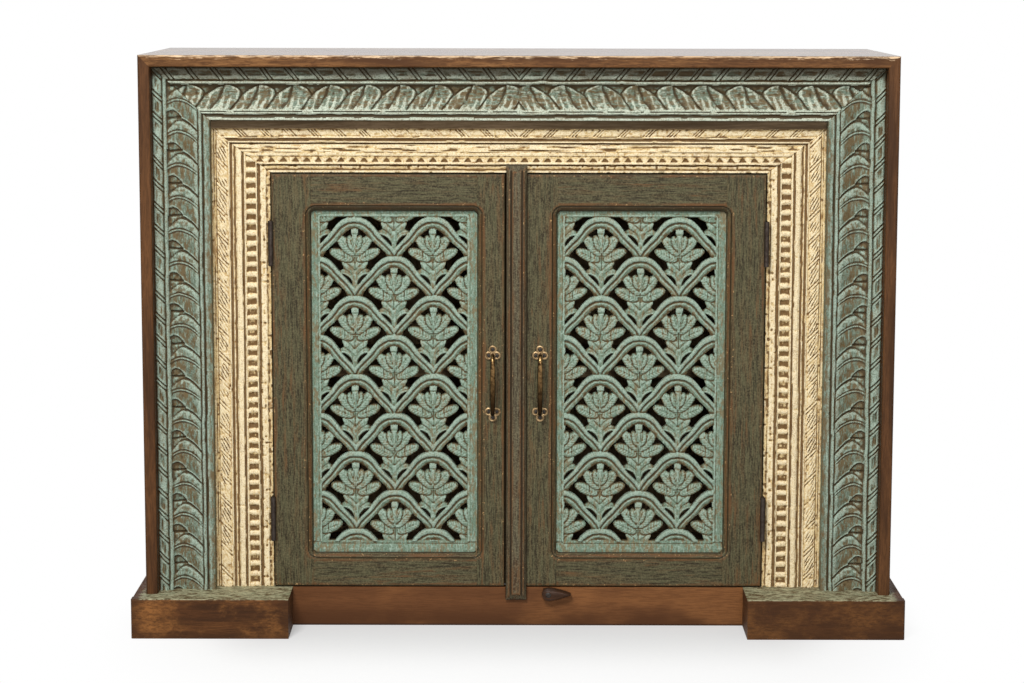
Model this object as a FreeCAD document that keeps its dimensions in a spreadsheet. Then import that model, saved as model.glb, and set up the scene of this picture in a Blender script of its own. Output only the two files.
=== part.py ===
# A carved sideboard: a plain dark case of boards on a low plinth, whose front is
# closed by two old carved door frames, one inside the other, and a pair of doors
# with pierced fish-scale panels. Lengths are in millimetres.
#
# The frame: +X is to the right of someone who faces the doors, +Y goes back from
# them, +Z is up. The origin is the centre of the floor area under the sideboard.
import FreeCAD, Part
import math
import os

import Sketcher
from FreeCAD import Vector

DRIVING_SIZES = {
    # The case of boards
    "overall_height": 900.0,
    "case_width": 1162.0,
    "case_depth": 402.0,
    "board_thickness": 18.0,
    "case_arris": 2.5,
    "back_thickness": 9.0,
    "back_inset": 6.0,
    # The shelf and what carries it
    "shelf_thickness": 18.0,
    "shelf_level": 385.0,
    "shelf_setback": 140.0,
    "shelf_play": 0.5,
    "cleat_section": 20.0,
    # The plinth
    "plinth_height": 62.0,
    "block_width": 244.0,
    "block_lead_front": 38.0,
    "block_lead_side": 19.0,
    "plinth_board": 20.0,
    "block_arris": 2.0,
    "rail_setback": 53.0,
    "back_rail_setback": 40.0,
    # The outer carved frame
    "outer_jamb_width": 87.0,
    "outer_head_width": 82.0,
    "outer_setback": 22.0,
    "outer_depth": 50.0,
    "outer_relief": 18.0,
    # The plain strip between the two heads
    "strip_band": 14.0,
    "strip_setback": 51.0,
    "strip_depth": 21.0,
    # The inner carved frame
    "inner_jamb_width": 90.0,
    "inner_head_width": 68.0,
    "inner_setback": 52.0,
    "inner_depth": 52.0,
    "inner_relief": 14.0,
    # The doors
    "door_setback": 50.0,
    "door_thickness": 28.0,
    "door_gap": 2.0,
    "hinge_stile": 57.0,
    "centre_margin": 56.0,
    "top_rail": 48.0,
    "bottom_rail": 46.0,
    "sight_corner": 8.0,
    "sight_bevel": 5.0,
    "sight_bevel_depth": 8.0,
    "panel_sink": 10.0,
    "panel_thickness": 12.0,
    "panel_tongue": 8.0,
    "tongue_play": 0.5,
    "stop_section": 18.0,
    "stop_depth": 20.0,
    "stop_play": 0.3,
    # The pierced field of a panel
    "field_side": 14.0,
    "field_top": 20.0,
    "field_bottom": 25.0,
    # The cover strip on the right door
    "cover_width": 33.0,
    "cover_offset": 3.0,
    "cover_thickness": 12.0,
    "cover_bevel": 11.0,
    "cover_lead_top": 14.5,
    "cover_lead_bottom": 21.0,
    # The hinges
    "hinge_length": 70.0,
    "hinge_lead_top": 108.0,
    "hinge_lead_bottom": 109.0,
    "knuckle_radius": 4.0,
    "hinge_pin_radius": 2.0,
    "leaf_thickness": 1.6,
    "leaf_depth": 24.0,
    "pin_play": 0.05,
    "knuckle_play": 0.3,
    # The handles
    "handle_drop": 2.0,
    "handle_span": 92.0,
    "handle_offset": 37.0,
    "handle_reach": 24.0,
    "handle_rod_radius": 3.1,
    "handle_bend": 10.0,
    "lobe_radius": 5.8,
    "lobe_spread": 6.2,
    "plate_thickness": 2.5,
    # The turn button
    "button_from_centre": 48.0,
    "button_level": 52.5,
    "button_reach": 36.0,
    "button_end_radius": 10.0,
    "button_tip_radius": 2.5,
    "button_thickness": 12.0,
    "button_edge": 2.0,
    "spacer_thickness": 4.0,
    "spacer_side": 16.0,
    "screw_radius": 2.2,
    "screw_cap_radius": 4.5,
    "screw_cap_rise": 1.5,
    "screw_grip": 16.0,
    "screw_play": 0.05,
    # How far a cutting tool runs past what it cuts
    "overrun": 1.0,
}


class Size:
    """A length together with the spreadsheet formula that gives it."""

    def __init__(self, value, formula):
        self.value = value
        self.formula = formula

    def __add__(self, other):
        return Size(self.value + value_of(other), f"({self.formula} + {formula_of(other)})")

    def __radd__(self, other):
        return Size(value_of(other) + self.value, f"({formula_of(other)} + {self.formula})")

    def __sub__(self, other):
        return Size(self.value - value_of(other), f"({self.formula} - {formula_of(other)})")

    def __rsub__(self, other):
        return Size(value_of(other) - self.value, f"({formula_of(other)} - {self.formula})")

    def __mul__(self, other):
        return Size(self.value * value_of(other), f"({self.formula} * {formula_of(other)})")

    def __rmul__(self, other):
        return self * other

    def __truediv__(self, other):
        return Size(self.value / value_of(other), f"({self.formula} / {formula_of(other)})")

    def __neg__(self):
        return Size(-self.value, f"(0 - {self.formula})")


def value_of(thing):
    """The number in a Size, or a plain number as it is."""
    return thing.value if isinstance(thing, Size) else float(thing)


def formula_of(thing):
    """The formula of a Size, or a plain number written out."""
    return thing.formula if isinstance(thing, Size) else repr(float(thing))


def fill_sheet(document):
    """Puts the driving sizes in a spreadsheet and gives each one back as a Size."""
    sheet = document.addObject("Spreadsheet::Sheet", "Sizes")
    sizes = {}
    for row, (name, value) in enumerate(DRIVING_SIZES.items(), start=1):
        sheet.set(f"A{row}", name)
        sheet.set(f"B{row}", repr(value))
        sheet.setAlias(f"B{row}", name)
        sizes[name] = Size(value, f"Sizes.{name}")
    document.recompute()
    return sizes


doc = FreeCAD.newDocument("Sideboard")
size = fill_sheet(doc)
ZERO = Size(0.0, "0")
PARED_SHARE = 1 - math.sqrt(0.5)
NODES = []


# Features that several pieces share

def bind(feature, prop, length):
    """Ties a property of a feature to the formula of a Size."""
    feature.setExpression(prop, length.formula)


def place(feature, x, y, z):
    """Ties where a feature stands to three Sizes."""
    for axis, length in zip("xyz", (x, y, z)):
        bind(feature, f".Placement.Base.{axis}", length)


def node(feature, label):
    """Lists a finished piece under the name of its file."""
    feature.Label = label
    NODES.append(feature)
    return feature


def new_body(name, x=ZERO, y=ZERO, z=ZERO):
    """An empty body that stands at x, y, z."""
    body = doc.addObject("PartDesign::Body", name)
    place(body, x, y, z)
    return body


def origin_plane(body, role):
    """The body's own origin plane with this role."""
    return next(item for item in body.Origin.OriginFeatures if item.Role == role)


def fix_point(sketch, geometry, end, x, y):
    """Ties a point of a sketch to two Sizes, measured from the sketch's origin."""
    for kind, length in (("DistanceX", x), ("DistanceY", y)):
        index = sketch.addConstraint(Sketcher.Constraint(kind, -1, 1, geometry, end, length.value))
        sketch.setExpression(f"Constraints[{index}]", length.formula)


def draw_outline(sketch, points):
    """Draws a closed outline. A point is (x, y), or (x, y, (x, y)) where an arc leads to it.

    The inner pair is the middle of that arc.
    """
    flat = [Vector(point[0].value, point[1].value, 0) for point in points]
    ends = []
    for index, point in enumerate(points):
        start = flat[index - 1]
        finish = flat[index]
        if len(point) == 2:
            ends.append((sketch.addGeometry(Part.LineSegment(start, finish)), 1, 2))
            continue
        middle = Vector(point[2][0].value, point[2][1].value, 0)
        arc = sketch.addGeometry(Part.Arc(start, middle, finish))
        forward = sketch.getPoint(arc, 1).distanceToPoint(start) < sketch.getPoint(arc, 2).distanceToPoint(start)
        ends.append((arc, 1, 2) if forward else (arc, 2, 1))
        marker = sketch.addGeometry(Part.Point(middle), True)
        fix_point(sketch, marker, 1, point[2][0], point[2][1])
        sketch.addConstraint(Sketcher.Constraint("PointOnObject", marker, 1, arc))
    for index, point in enumerate(points):
        geometry, unused, finish_end = ends[index]
        following, start_end, unused = ends[(index + 1) % len(points)]
        sketch.addConstraint(Sketcher.Constraint("Coincident", geometry, finish_end, following, start_end))
        fix_point(sketch, geometry, finish_end, point[0], point[1])


def new_sketch(body, role, points, suffix="outline"):
    """A sketch on one of the body's origin planes, with one closed outline."""
    sketch = body.newObject("Sketcher::SketchObject", f"{body.Name}_{suffix}")
    sketch.AttachmentSupport = (origin_plane(body, role), [""])
    sketch.MapMode = "FlatFace"
    draw_outline(sketch, points)
    return sketch


def pad(body, sketch, length, back=False):
    """Pads a sketch along its plane's normal, or the other way with back."""
    feature = body.newObject("PartDesign::Pad", f"{sketch.Name}_pad")
    feature.Profile = sketch
    feature.Reversed = back
    bind(feature, "Length", length)
    return feature


def cut_through(body, sketch):
    """Cuts a sketch through the whole body, on both sides of its plane."""
    feature = body.newObject("PartDesign::Pocket", f"{sketch.Name}_cut")
    feature.Profile = sketch
    feature.Type = "ThroughAll"
    feature.SideType = "Symmetric"
    return feature


def blank(body, length, width, height, suffix="blank", x=ZERO, y=ZERO, z=ZERO, take_away=False):
    """Adds a box to a body, or takes one away from it."""
    kind = "PartDesign::SubtractiveBox" if take_away else "PartDesign::AdditiveBox"
    box = body.newObject(kind, f"{body.Name}_{suffix}")
    bind(box, "Length", length)
    bind(box, "Width", width)
    bind(box, "Height", height)
    place(box, x, y, z)
    return box


def board(label, x, y, z):
    """A square-edged board between three pairs of planes."""
    body = new_body(label, x[0], y[0], z[0])
    blank(body, x[1] - x[0], y[1] - y[0], z[1] - z[0])
    return node(body, label)


def edges_between(feature, axis, test):
    """Names the straight edges along an axis whose middle passes a test."""
    names = []
    for index, edge in enumerate(feature.Shape.Edges, start=1):
        along = edge.Vertexes[-1].Point - edge.Vertexes[0].Point
        straight = len(edge.Vertexes) == 2 and edge.Curve.TypeId == "Part::GeomLine"
        if straight and abs(along.normalize().dot(axis)) > 0.999 and test(edge.CenterOfMass):
            names.append(f"Edge{index}")
    return names


def soften(body, radius, axis, test):
    """Rounds the body's straight edges along an axis whose middle passes a test."""
    doc.recompute()
    base = body.Tip
    feature = body.newObject("PartDesign::Fillet", f"{body.Name}_arris")
    feature.Base = (base, edges_between(base, axis, test))
    bind(feature, "Radius", radius)
    return feature


def bevel(body, flat, axis, test):
    """Planes off the body's straight edges along an axis whose middle passes a test."""
    doc.recompute()
    base = body.Tip
    feature = body.newObject("PartDesign::Chamfer", f"{body.Name}_bevel")
    feature.Base = (base, edges_between(base, axis, test))
    bind(feature, "Size", flat)
    return feature


def near(first, second):
    """Whether two lengths are the same to within a hundredth of a board's arris."""
    return abs(first - second) < size["case_arris"].value / 100


AXIS_X = Vector(1, 0, 0)
AXIS_Y = Vector(0, 1, 0)
AXIS_Z = Vector(0, 0, 1)


# Where the main planes are

overall_depth = size["case_depth"] + size["block_lead_front"]
front = size["block_lead_front"] - overall_depth / 2
back = overall_depth / 2
case_side = size["case_width"] / 2
inside = case_side - size["board_thickness"]
floor_top = size["plinth_height"]
top = size["overall_height"]
top_under = top - size["board_thickness"]
back_front = back - size["back_inset"] - size["back_thickness"]

outer_face = front + size["outer_setback"]
outer_edge = inside - size["outer_jamb_width"]
outer_head_under = top_under - size["outer_head_width"]
strip_under = outer_head_under - size["strip_band"]

inner_face = front + size["inner_setback"]
inner_back = inner_face + size["inner_depth"]
way_side = outer_edge - size["inner_jamb_width"]
way_top = strip_under - size["inner_head_width"]

door_face = front + size["door_setback"]
door_back = door_face + size["door_thickness"]
door_side = way_side - size["door_gap"]
door_low = floor_top + size["door_gap"]
door_high = way_top - size["door_gap"]
sight_side = door_side - size["hinge_stile"]
sight_low = door_low + size["bottom_rail"]
sight_high = door_high - size["top_rail"]
panel_face = door_face + size["panel_sink"]

handle_level = (door_low + door_high) / 2 - size["handle_drop"]
pin_x = way_side - size["door_gap"] / 2
pin_y = door_face - size["knuckle_radius"] - size["knuckle_play"]
cover_left = -size["cover_offset"] - size["cover_width"] / 2
cover_right = cover_left + size["cover_width"]


# The case

def mitred_top():
    """The top board, mitred down to the sides at both ends."""
    body = new_body("top_board", ZERO, front, ZERO)
    outline = new_sketch(body, "XZ_Plane", [
        (-inside, top_under),
        (inside, top_under),
        (case_side, top),
        (-case_side, top),
    ])
    pad(body, outline, size["case_depth"], back=True)
    soften(body, size["case_arris"], AXIS_X, lambda middle: near(middle.y, 0))
    return node(body, "top_board")


def mitred_side(label, hand):
    """A side board that stands on the plinth and is mitred to the top. hand is -1 on the left."""
    body = new_body(label, ZERO, front, ZERO)
    outline = new_sketch(body, "XZ_Plane", [
        (hand * inside, floor_top),
        (hand * case_side, floor_top),
        (hand * case_side, top),
        (hand * inside, top_under),
    ])
    pad(body, outline, size["case_depth"], back=True)
    soften(body, size["case_arris"], AXIS_Z, lambda middle: near(middle.y, 0))
    return node(body, label)


def bottom_board():
    """The case floor, notched round the inner frame's jambs so that it reaches the doors."""
    body = new_body("bottom_board", ZERO, ZERO, floor_top)
    nose = door_back + size["stop_play"]
    outline = new_sketch(body, "XY_Plane", [
        (-way_side, nose),
        (way_side, nose),
        (way_side, inner_back),
        (inside, inner_back),
        (inside, back_front),
        (-inside, back_front),
        (-inside, inner_back),
        (-way_side, inner_back),
    ])
    pad(body, outline, size["board_thickness"])
    return node(body, "bottom_board")


def shelf_and_cleats():
    """One shelf on a cleat at each side."""
    level = size["shelf_level"]
    shelf_front = front + size["shelf_setback"]
    reach = inside - size["shelf_play"]
    board("shelf", (-reach, reach), (shelf_front, back_front), (level, level + size["shelf_thickness"]))
    cleat = (level - size["cleat_section"], level)
    cleat_inner = inside - size["cleat_section"]
    board("left_shelf_cleat", (-inside, -cleat_inner), (shelf_front, back_front), cleat)
    board("right_shelf_cleat", (cleat_inner, inside), (shelf_front, back_front), cleat)


mitred_top()
mitred_side("left_side_board", -1)
mitred_side("right_side_board", 1)
bottom_board()
board("back_panel", (-inside, inside), (back_front, back_front + size["back_thickness"]), (floor_top, top_under))
shelf_and_cleats()


# The plinth

def between(hand, low, high):
    """The pair of planes low and high from the centre line, on the side that hand names."""
    return (low, high) if hand > 0 else (-high, -low)


def plinth_block(side, hand):
    """One block of the plinth: front, outer side and inner return boards round a cap."""
    thickness = size["plinth_board"]
    block_front = front - size["block_lead_front"]
    outer = case_side + size["block_lead_side"]
    inner = outer - size["block_width"]
    face = board(f"{side}_block_front", between(hand, inner, outer),
                 (block_front, block_front + thickness), (ZERO, floor_top))
    bevel(face, size["block_arris"], AXIS_X,
          lambda middle: near(middle.y, 0) and near(middle.z, floor_top.value))
    bevel(face, size["block_arris"], AXIS_Z,
          lambda middle: near(middle.y, 0) and near(middle.x, 0 if hand < 0 else size["block_width"].value))
    flank = board(f"{side}_block_side", between(hand, outer - thickness, outer),
                  (block_front + thickness, back), (ZERO, floor_top))
    bevel(flank, size["block_arris"], AXIS_Y,
          lambda middle: near(middle.z, floor_top.value) and near(middle.x, 0 if hand < 0 else thickness.value))
    rail_back = front + size["rail_setback"] + thickness
    board(f"{side}_block_return", between(hand, inner, inner + thickness),
          (block_front + thickness, rail_back), (ZERO, floor_top))
    board(f"{side}_block_cap", between(hand, inner + thickness, outer - thickness),
          (block_front + thickness, back), (floor_top - thickness, floor_top))


def plinth_rails():
    """The rail that shows between the blocks, and the rail under the back."""
    reach = case_side + size["block_lead_side"] - size["block_width"]
    rail_front = front + size["rail_setback"]
    rail = board("front_rail", (-reach, reach), (rail_front, rail_front + size["plinth_board"]), (ZERO, floor_top))
    pilot = rail.newObject("PartDesign::SubtractiveCylinder", "front_rail_pilot")
    bind(pilot, "Radius", size["screw_radius"] + size["screw_play"])
    bind(pilot, "Height", size["screw_grip"] + size["overrun"])
    place(pilot, reach + size["button_from_centre"], -size["overrun"], size["button_level"])
    pilot.Placement.Rotation = FreeCAD.Rotation(AXIS_X, -90)
    back_rail = back - size["back_rail_setback"]
    outer = case_side + size["block_lead_side"] - size["plinth_board"]
    board("back_rail", (-outer, outer), (back_rail - size["plinth_board"], back_rail),
          (ZERO, floor_top - size["plinth_board"]))


for side, hand in (("left", -1), ("right", 1)):
    plinth_block(side, hand)
plinth_rails()


# The carved frames. A profile's points are shares: across the member from its
# outer edge, and into its relief. Where an arc leads to a point, the middle of
# that arc follows it.

OUTER_PROFILE_SHARES = [
    (0.0, 0.35),
    (0.22, 0.35, (0.11, 0.0)),
    (0.22, 0.5),
    (0.255, 0.5),
    (0.27, 0.62),
    (0.785, 0.5, (0.47, 1.0)),
    (0.81, 0.5),
    (0.815, 0.85),
    (0.865, 0.85),
    (0.875, 1.0),
    (0.885, 0.85),
    (1.0, 0.85),
]
INNER_PROFILE_SHARES = [
    (0.0, 0.25),
    (0.05, 0.25),
    (0.055, 0.0),
    (0.11, 0.0),
    (0.115, 0.25),
    (0.295, 0.25, (0.205, 0.03)),
    (0.3, 0.0),
    (0.345, 0.0),
    (0.35, 0.75),
    (0.395, 0.75),
    (0.4, 0.4),
    (0.47, 0.3),
    (0.475, 0.1),
    (0.59, 0.1),
    (0.6, 0.55),
    (0.775, 0.55),
    (0.78, 0.15),
    (0.8, 0.15),
    (0.805, 0.6),
    (0.82, 0.45),
    (1.0, 0.45),
]


def section(profile_shares, width, relief, depth, turn):
    """The closed section of a frame member, turned into its sketch by turn(across, into)."""
    points = []
    for across, into, *arc in profile_shares:
        pair = turn(across * width, into * relief)
        points.append(pair + tuple(turn(a * width, b * relief) for a, b in arc))
    points.append(turn(width, depth))
    points.append(turn(ZERO, depth))
    return points


def hinge_levels():
    """The lower end of each hinge leaf, set off from the ends of the door."""
    half = size["hinge_length"] / 2
    return [door_low + size["hinge_lead_bottom"] - half, door_high - size["hinge_lead_top"] - half]


def jamb(label, hand, outer, face, head_top, shares, width, head_width, relief, depth, leaf_face=None):
    """An upright of a carved frame, mitred at its head. leaf_face is where hinge leaves let into it start."""
    body = new_body(label, hand * outer, face, floor_top)
    height = head_top - floor_top
    profile = section(shares, width, relief, depth, lambda across, into: (-hand * across, into))
    pad(body, new_sketch(body, "XY_Plane", profile, "section"), height)
    cut_through(body, new_sketch(body, "XZ_Plane", [
        (ZERO, height),
        (-hand * width, height - head_width),
        (-hand * width, height + size["overrun"]),
        (ZERO, height + size["overrun"]),
    ], "mitre"))
    if leaf_face is not None:
        thickness = size["leaf_thickness"]
        seat = -hand * width if hand > 0 else width - thickness
        for index, low in enumerate(hinge_levels(), start=1):
            blank(body, thickness, size["leaf_depth"], size["hinge_length"], f"mortise{index}",
                  seat, leaf_face - face, low - floor_top, True)
    return node(body, label)


def head(label, outer, face, head_top, shares, width, jamb_width, relief, depth):
    """The top member of a carved frame, with a mitre at each end."""
    body = new_body(label, -outer, face, head_top)
    length = 2 * outer
    profile = section(shares, width, relief, depth, lambda across, into: (into, -across))
    pad(body, new_sketch(body, "YZ_Plane", profile, "section"), length)
    below = -width - size["overrun"]
    for end, start, inward in (("left", ZERO, 1), ("right", length, -1)):
        cut_through(body, new_sketch(body, "XZ_Plane", [
            (start, ZERO),
            (start + inward * jamb_width, -width),
            (start + inward * jamb_width, below),
            (start - inward * size["overrun"], below),
            (start - inward * size["overrun"], ZERO),
        ], f"{end}_mitre"))
    return node(body, label)


def carved_frame(name, outer, face, head_top, shares, jamb_width, head_width, relief, depth, leaf_face=None):
    """Two jambs and a head that meet in mitres."""
    for side, hand in (("left", -1), ("right", 1)):
        jamb(f"{name}_{side}_jamb", hand, outer, face, head_top, shares, jamb_width, head_width,
             relief, depth, leaf_face)
    head(f"{name}_head", outer, face, head_top, shares, head_width, jamb_width, relief, depth)


carved_frame("outer_frame", inside, outer_face, top_under, OUTER_PROFILE_SHARES,
             size["outer_jamb_width"], size["outer_head_width"], size["outer_relief"], size["outer_depth"])
board("head_strip", (-outer_edge, outer_edge),
      (front + size["strip_setback"], front + size["strip_setback"] + size["strip_depth"]),
      (strip_under, outer_head_under))
carved_frame("inner_frame", outer_edge, inner_face, strip_under, INNER_PROFILE_SHARES,
             size["inner_jamb_width"], size["inner_head_width"], size["inner_relief"], size["inner_depth"],
             door_face)
board("door_stop", (-way_side, way_side),
      (door_back + size["stop_play"], door_back + size["stop_play"] + size["stop_depth"]),
      (way_top - size["stop_section"], way_top))


# The doors

def eased_rectangle(x_low, x_high, z_low, z_high, radius):
    """The outline of a rectangle whose corners are pared round in two flats each."""
    inset = radius * PARED_SHARE
    return [
        (x_low, z_low + radius),
        (x_low + inset, z_low + inset),
        (x_low + radius, z_low),
        (x_high - radius, z_low),
        (x_high - inset, z_low + inset),
        (x_high, z_low + radius),
        (x_high, z_high - radius),
        (x_high - inset, z_high - inset),
        (x_high - radius, z_high),
        (x_low + radius, z_high),
        (x_low + inset, z_high - inset),
        (x_low, z_high - radius),
    ]


def sight_tool(side, x_low, x_high):
    """What the members of a door lose to its panel: a bevelled window and a groove behind it."""
    bevel_depth = size["sight_bevel_depth"]
    body = new_body(f"{side}_door_window", ZERO, door_face + bevel_depth, ZERO)
    flare = size["sight_bevel"]
    corner = size["sight_corner"]
    narrow = eased_rectangle(x_low, x_high, sight_low, sight_high, corner)
    wide = eased_rectangle(x_low - flare, x_high + flare, sight_low - flare, sight_high + flare, corner + flare)
    window = new_sketch(body, "XZ_Plane", narrow, "window")
    mouth = new_sketch(body, "XZ_Plane", wide, "mouth")
    bind(mouth, ".AttachmentOffset.Base.z", bevel_depth)
    splay = body.newObject("PartDesign::AdditiveLoft", f"{side}_door_window_splay")
    splay.Profile = window
    splay.Sections = [mouth]
    through = size["door_thickness"] - bevel_depth
    pad(body, new_sketch(body, "XZ_Plane", narrow, "through"), through + size["overrun"], back=True)
    tongue = size["panel_tongue"]
    blank(body, x_high - x_low + 2 * tongue, size["panel_thickness"], sight_high - sight_low + 2 * tongue,
          "groove", x_low - tongue, size["panel_sink"] - bevel_depth, sight_low - tongue)
    return body


def door_member(label, x, z, tool, mortises=()):
    """A stile or rail of a door, cut by the door's window and by its hinge leaves."""
    body = new_body(f"{label}_timber", x[0], door_face, z[0])
    blank(body, x[1] - x[0], size["door_thickness"], z[1] - z[0])
    for index, (left, low, width, height) in enumerate(mortises, start=1):
        blank(body, width, size["leaf_depth"], height, f"mortise{index}", left - x[0], ZERO, low - z[0], True)
    cut = doc.addObject("Part::Cut", label)
    cut.Base = body
    cut.Tool = tool
    return node(cut, label)


def door_frame(side, hand, free_edge):
    """Two stiles and two rails. free_edge is how far past the centre line the door reaches."""
    near_side = size["centre_margin"]
    x_low, x_high = between(hand, near_side, sight_side)
    tool = sight_tool(side, x_low, x_high)
    horn = size["sight_corner"]
    leaf = size["leaf_thickness"]
    leaf_left = door_side - leaf if hand > 0 else -door_side
    mortises = [(leaf_left, low, leaf, size["hinge_length"]) for low in hinge_levels()]
    full = (door_low, door_high)
    door_member(f"{side}_door_hinge_stile", between(hand, sight_side, door_side), full, tool, mortises)
    meeting = (free_edge, x_low) if hand > 0 else (x_high, free_edge)
    door_member(f"{side}_door_meeting_stile", meeting, full, tool)
    door_member(f"{side}_door_bottom_rail", (x_low, x_high), (door_low, sight_low + horn), tool)
    door_member(f"{side}_door_top_rail", (x_low, x_high), (sight_high - horn, door_high), tool)
    return x_low, x_high


# The pierced panel. Each fish scale has the same openings round its sprig of
# leaves. Shares are of half the distance between scales: across from the scale's
# centre line and down from the crown of its arch. They give the right half, and
# the left half mirrors it.

PIERCING_SHARES = {
    "beside_bud": [(0.08, 0.31), (0.25, 0.38), (0.335, 0.54), (0.17, 0.6)],
    "between_leaflets": [(0.385, 0.665), (0.55, 0.81), (0.32, 0.85)],
    "under_leaflet": [(0.66, 0.85), (0.76, 0.955), (0.3, 1.275), (0.28, 1.1)],
    "beside_stem": [(0.05, 1.62), (0.1, 1.48), (0.3, 1.45)],
}
SCALES_ACROSS = 2
SCALE_ROWS = 9
ROWS_SHARE = 8.3


def piercing(points, hand, centre, crown, step_x, step_z):
    """One opening of a scale as a flat face in the plane of the panel."""
    def spot(pair):
        return Vector(centre + hand * pair[0] * step_x, 0, crown - pair[1] * step_z)

    corners = [spot(pair) for pair in points]
    return Part.Face(Part.makePolygon(corners + corners[:1]))


def scale_centres(x_low, x_high, z_low, z_high):
    """Each scale's centre line and crown, with the steps between them."""
    step_x = (x_high - x_low) / (2 * SCALES_ACROSS)
    step_z = (z_high - z_low) / ROWS_SHARE
    for row in range(-1, SCALE_ROWS):
        for column in range(2 * SCALES_ACROSS + 1):
            if (row + column) % 2:
                yield x_low + column * step_x, z_high - row * step_z, step_x, step_z


def pierced_panel(side, x_low, x_high):
    """A board whose edge sits in the door's groove, with the openings of every scale cut through."""
    tongue = size["panel_tongue"].value - size["tongue_play"].value
    thickness = size["panel_thickness"].value
    x_low, x_high, z_low, z_high = (item.value for item in (x_low, x_high, sight_low, sight_high))
    margin = size["field_side"].value
    field = (x_low + margin, x_high - margin,
             z_low + size["field_bottom"].value, z_high - size["field_top"].value)
    window = Part.Face(Part.makePolygon([
        Vector(field[0], 0, field[2]), Vector(field[1], 0, field[2]),
        Vector(field[1], 0, field[3]), Vector(field[0], 0, field[3]), Vector(field[0], 0, field[2]),
    ]))
    openings = []
    for centre, crown, step_x, step_z in scale_centres(*field):
        for points in PIERCING_SHARES.values():
            for hand in (-1, 1):
                openings.append(piercing(points, hand, centre, crown, step_x, step_z))
    kept = window.common(Part.makeCompound(openings))
    blank_board = Part.makeBox(x_high - x_low + 2 * tongue, thickness, z_high - z_low + 2 * tongue,
                               Vector(x_low - tongue, 0, z_low - tongue))
    overrun = size["overrun"].value
    cutters = kept.translated(Vector(0, -overrun, 0)).extrude(Vector(0, thickness + 2 * overrun, 0))
    feature = doc.addObject("Part::Feature", f"{side}_pierced_panel")
    feature.Shape = blank_board.cut(cutters)
    feature.Placement.Base = Vector(0, panel_face.value, 0)
    bind(feature, ".Placement.Base.y", panel_face)
    return node(feature, f"{side}_pierced_panel")


def cover_strip():
    """The strip on the right door that hides the gap, with a bevel along each side and end."""
    body = new_body("cover_strip", cover_left, door_face, door_low - size["cover_lead_bottom"])
    width = size["cover_width"]
    thickness = size["cover_thickness"]
    length = door_high - door_low + size["cover_lead_top"] + size["cover_lead_bottom"]
    side_bevel = size["cover_bevel"] / 2
    outline = new_sketch(body, "XY_Plane", [
        (ZERO, ZERO),
        (ZERO, -thickness / 2),
        (side_bevel, -thickness),
        (width - side_bevel, -thickness),
        (width, -thickness / 2),
        (width, ZERO),
    ], "section")
    pad(body, outline, length)
    end_bevel = size["cover_bevel"]
    for end, level, inward in (("low", ZERO, 1), ("high", length, -1)):
        cut_through(body, new_sketch(body, "YZ_Plane", [
            (ZERO, level),
            (-thickness - size["overrun"], level + inward * end_bevel),
            (-thickness - size["overrun"], level - inward * size["overrun"]),
            (ZERO, level - inward * size["overrun"]),
        ], f"{end}_bevel"))
    return node(body, "cover_strip")


left_free_edge = cover_left - size["door_gap"]
left_sight = door_frame("left", -1, left_free_edge)
right_sight = door_frame("right", 1, cover_left)
pierced_panel("left", *left_sight)
pierced_panel("right", *right_sight)
cover_strip()


# The hinges

def fuse(label, parts):
    """Joins several shapes into one piece, without seams where their faces run on."""
    joined = doc.addObject("Part::MultiFuse", label)
    joined.Shapes = parts
    joined.Refine = True
    return joined


def cylinder(name, radius, height, x, y, z, tilt=0):
    """A cylinder that stands up from x, y, z, or is tilted about +X by some degrees."""
    shape = doc.addObject("Part::Cylinder", name)
    bind(shape, "Radius", radius)
    bind(shape, "Height", height)
    shape.Placement.Rotation = FreeCAD.Rotation(AXIS_X, tilt)
    place(shape, x, y, z)
    return shape


def box(name, x, y, z):
    """A box between three pairs of planes."""
    shape = doc.addObject("Part::Box", name)
    bind(shape, "Length", x[1] - x[0])
    bind(shape, "Width", y[1] - y[0])
    bind(shape, "Height", z[1] - z[0])
    place(shape, x[0], y[0], z[0])
    return shape


def leaf(name, hand, on_door, low, knuckles):
    """A hinge leaf: a plate let into its timber, with the barrels that it carries."""
    pin = hand * pin_x
    inward = -hand if on_door else hand
    seat = size["door_gap"] / 2
    thickness = size["leaf_thickness"]
    sides = (pin + inward * seat, pin + inward * (seat + thickness))
    sides = sides if inward > 0 else (sides[1], sides[0])
    plate = box(f"{name}_plate", sides, (door_face, door_face + size["leaf_depth"]),
                (low, low + size["hinge_length"]))
    parts = [plate]
    for index, (start, finish) in enumerate(knuckles, start=1):
        parts.append(cylinder(f"{name}_barrel{index}", size["knuckle_radius"], finish - start, pin, pin_y, start))
        parts.append(box(f"{name}_root{index}", sides, (pin_y, door_face + size["overrun"]), (start, finish)))
    return parts


def butt_hinge(side, hand, position, low):
    """A butt hinge of three barrels: the frame's leaf holds the pin, the door's leaf turns on it."""
    name = f"{side}_{position}_hinge"
    pin = hand * pin_x
    third = size["hinge_length"] / 3
    play = size["knuckle_play"]
    high = low + size["hinge_length"]
    frame_parts = leaf(f"{name}_frame", hand, False, low, [(low, low + third), (high - third, high)])
    frame_parts.append(cylinder(f"{name}_pin", size["hinge_pin_radius"],
                                size["hinge_length"], pin, pin_y, low))
    node(fuse(f"{name}_frame_leaf", frame_parts), f"{name}_frame_leaf")
    middle = (low + third + play, high - third - play)
    door_parts = leaf(f"{name}_door", hand, True, low, [middle])
    bore = cylinder(f"{name}_bore", size["hinge_pin_radius"] + size["pin_play"], size["hinge_length"],
                    pin, pin_y, low)
    turning = doc.addObject("Part::Cut", f"{name}_door_leaf")
    turning.Base = fuse(f"{name}_door_solid", door_parts)
    turning.Tool = bore
    node(turning, f"{name}_door_leaf")


for side, hand in (("left", -1), ("right", 1)):
    for position, low in zip(("lower", "upper"), hinge_levels()):
        butt_hinge(side, hand, position, low)


# The handles

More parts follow.
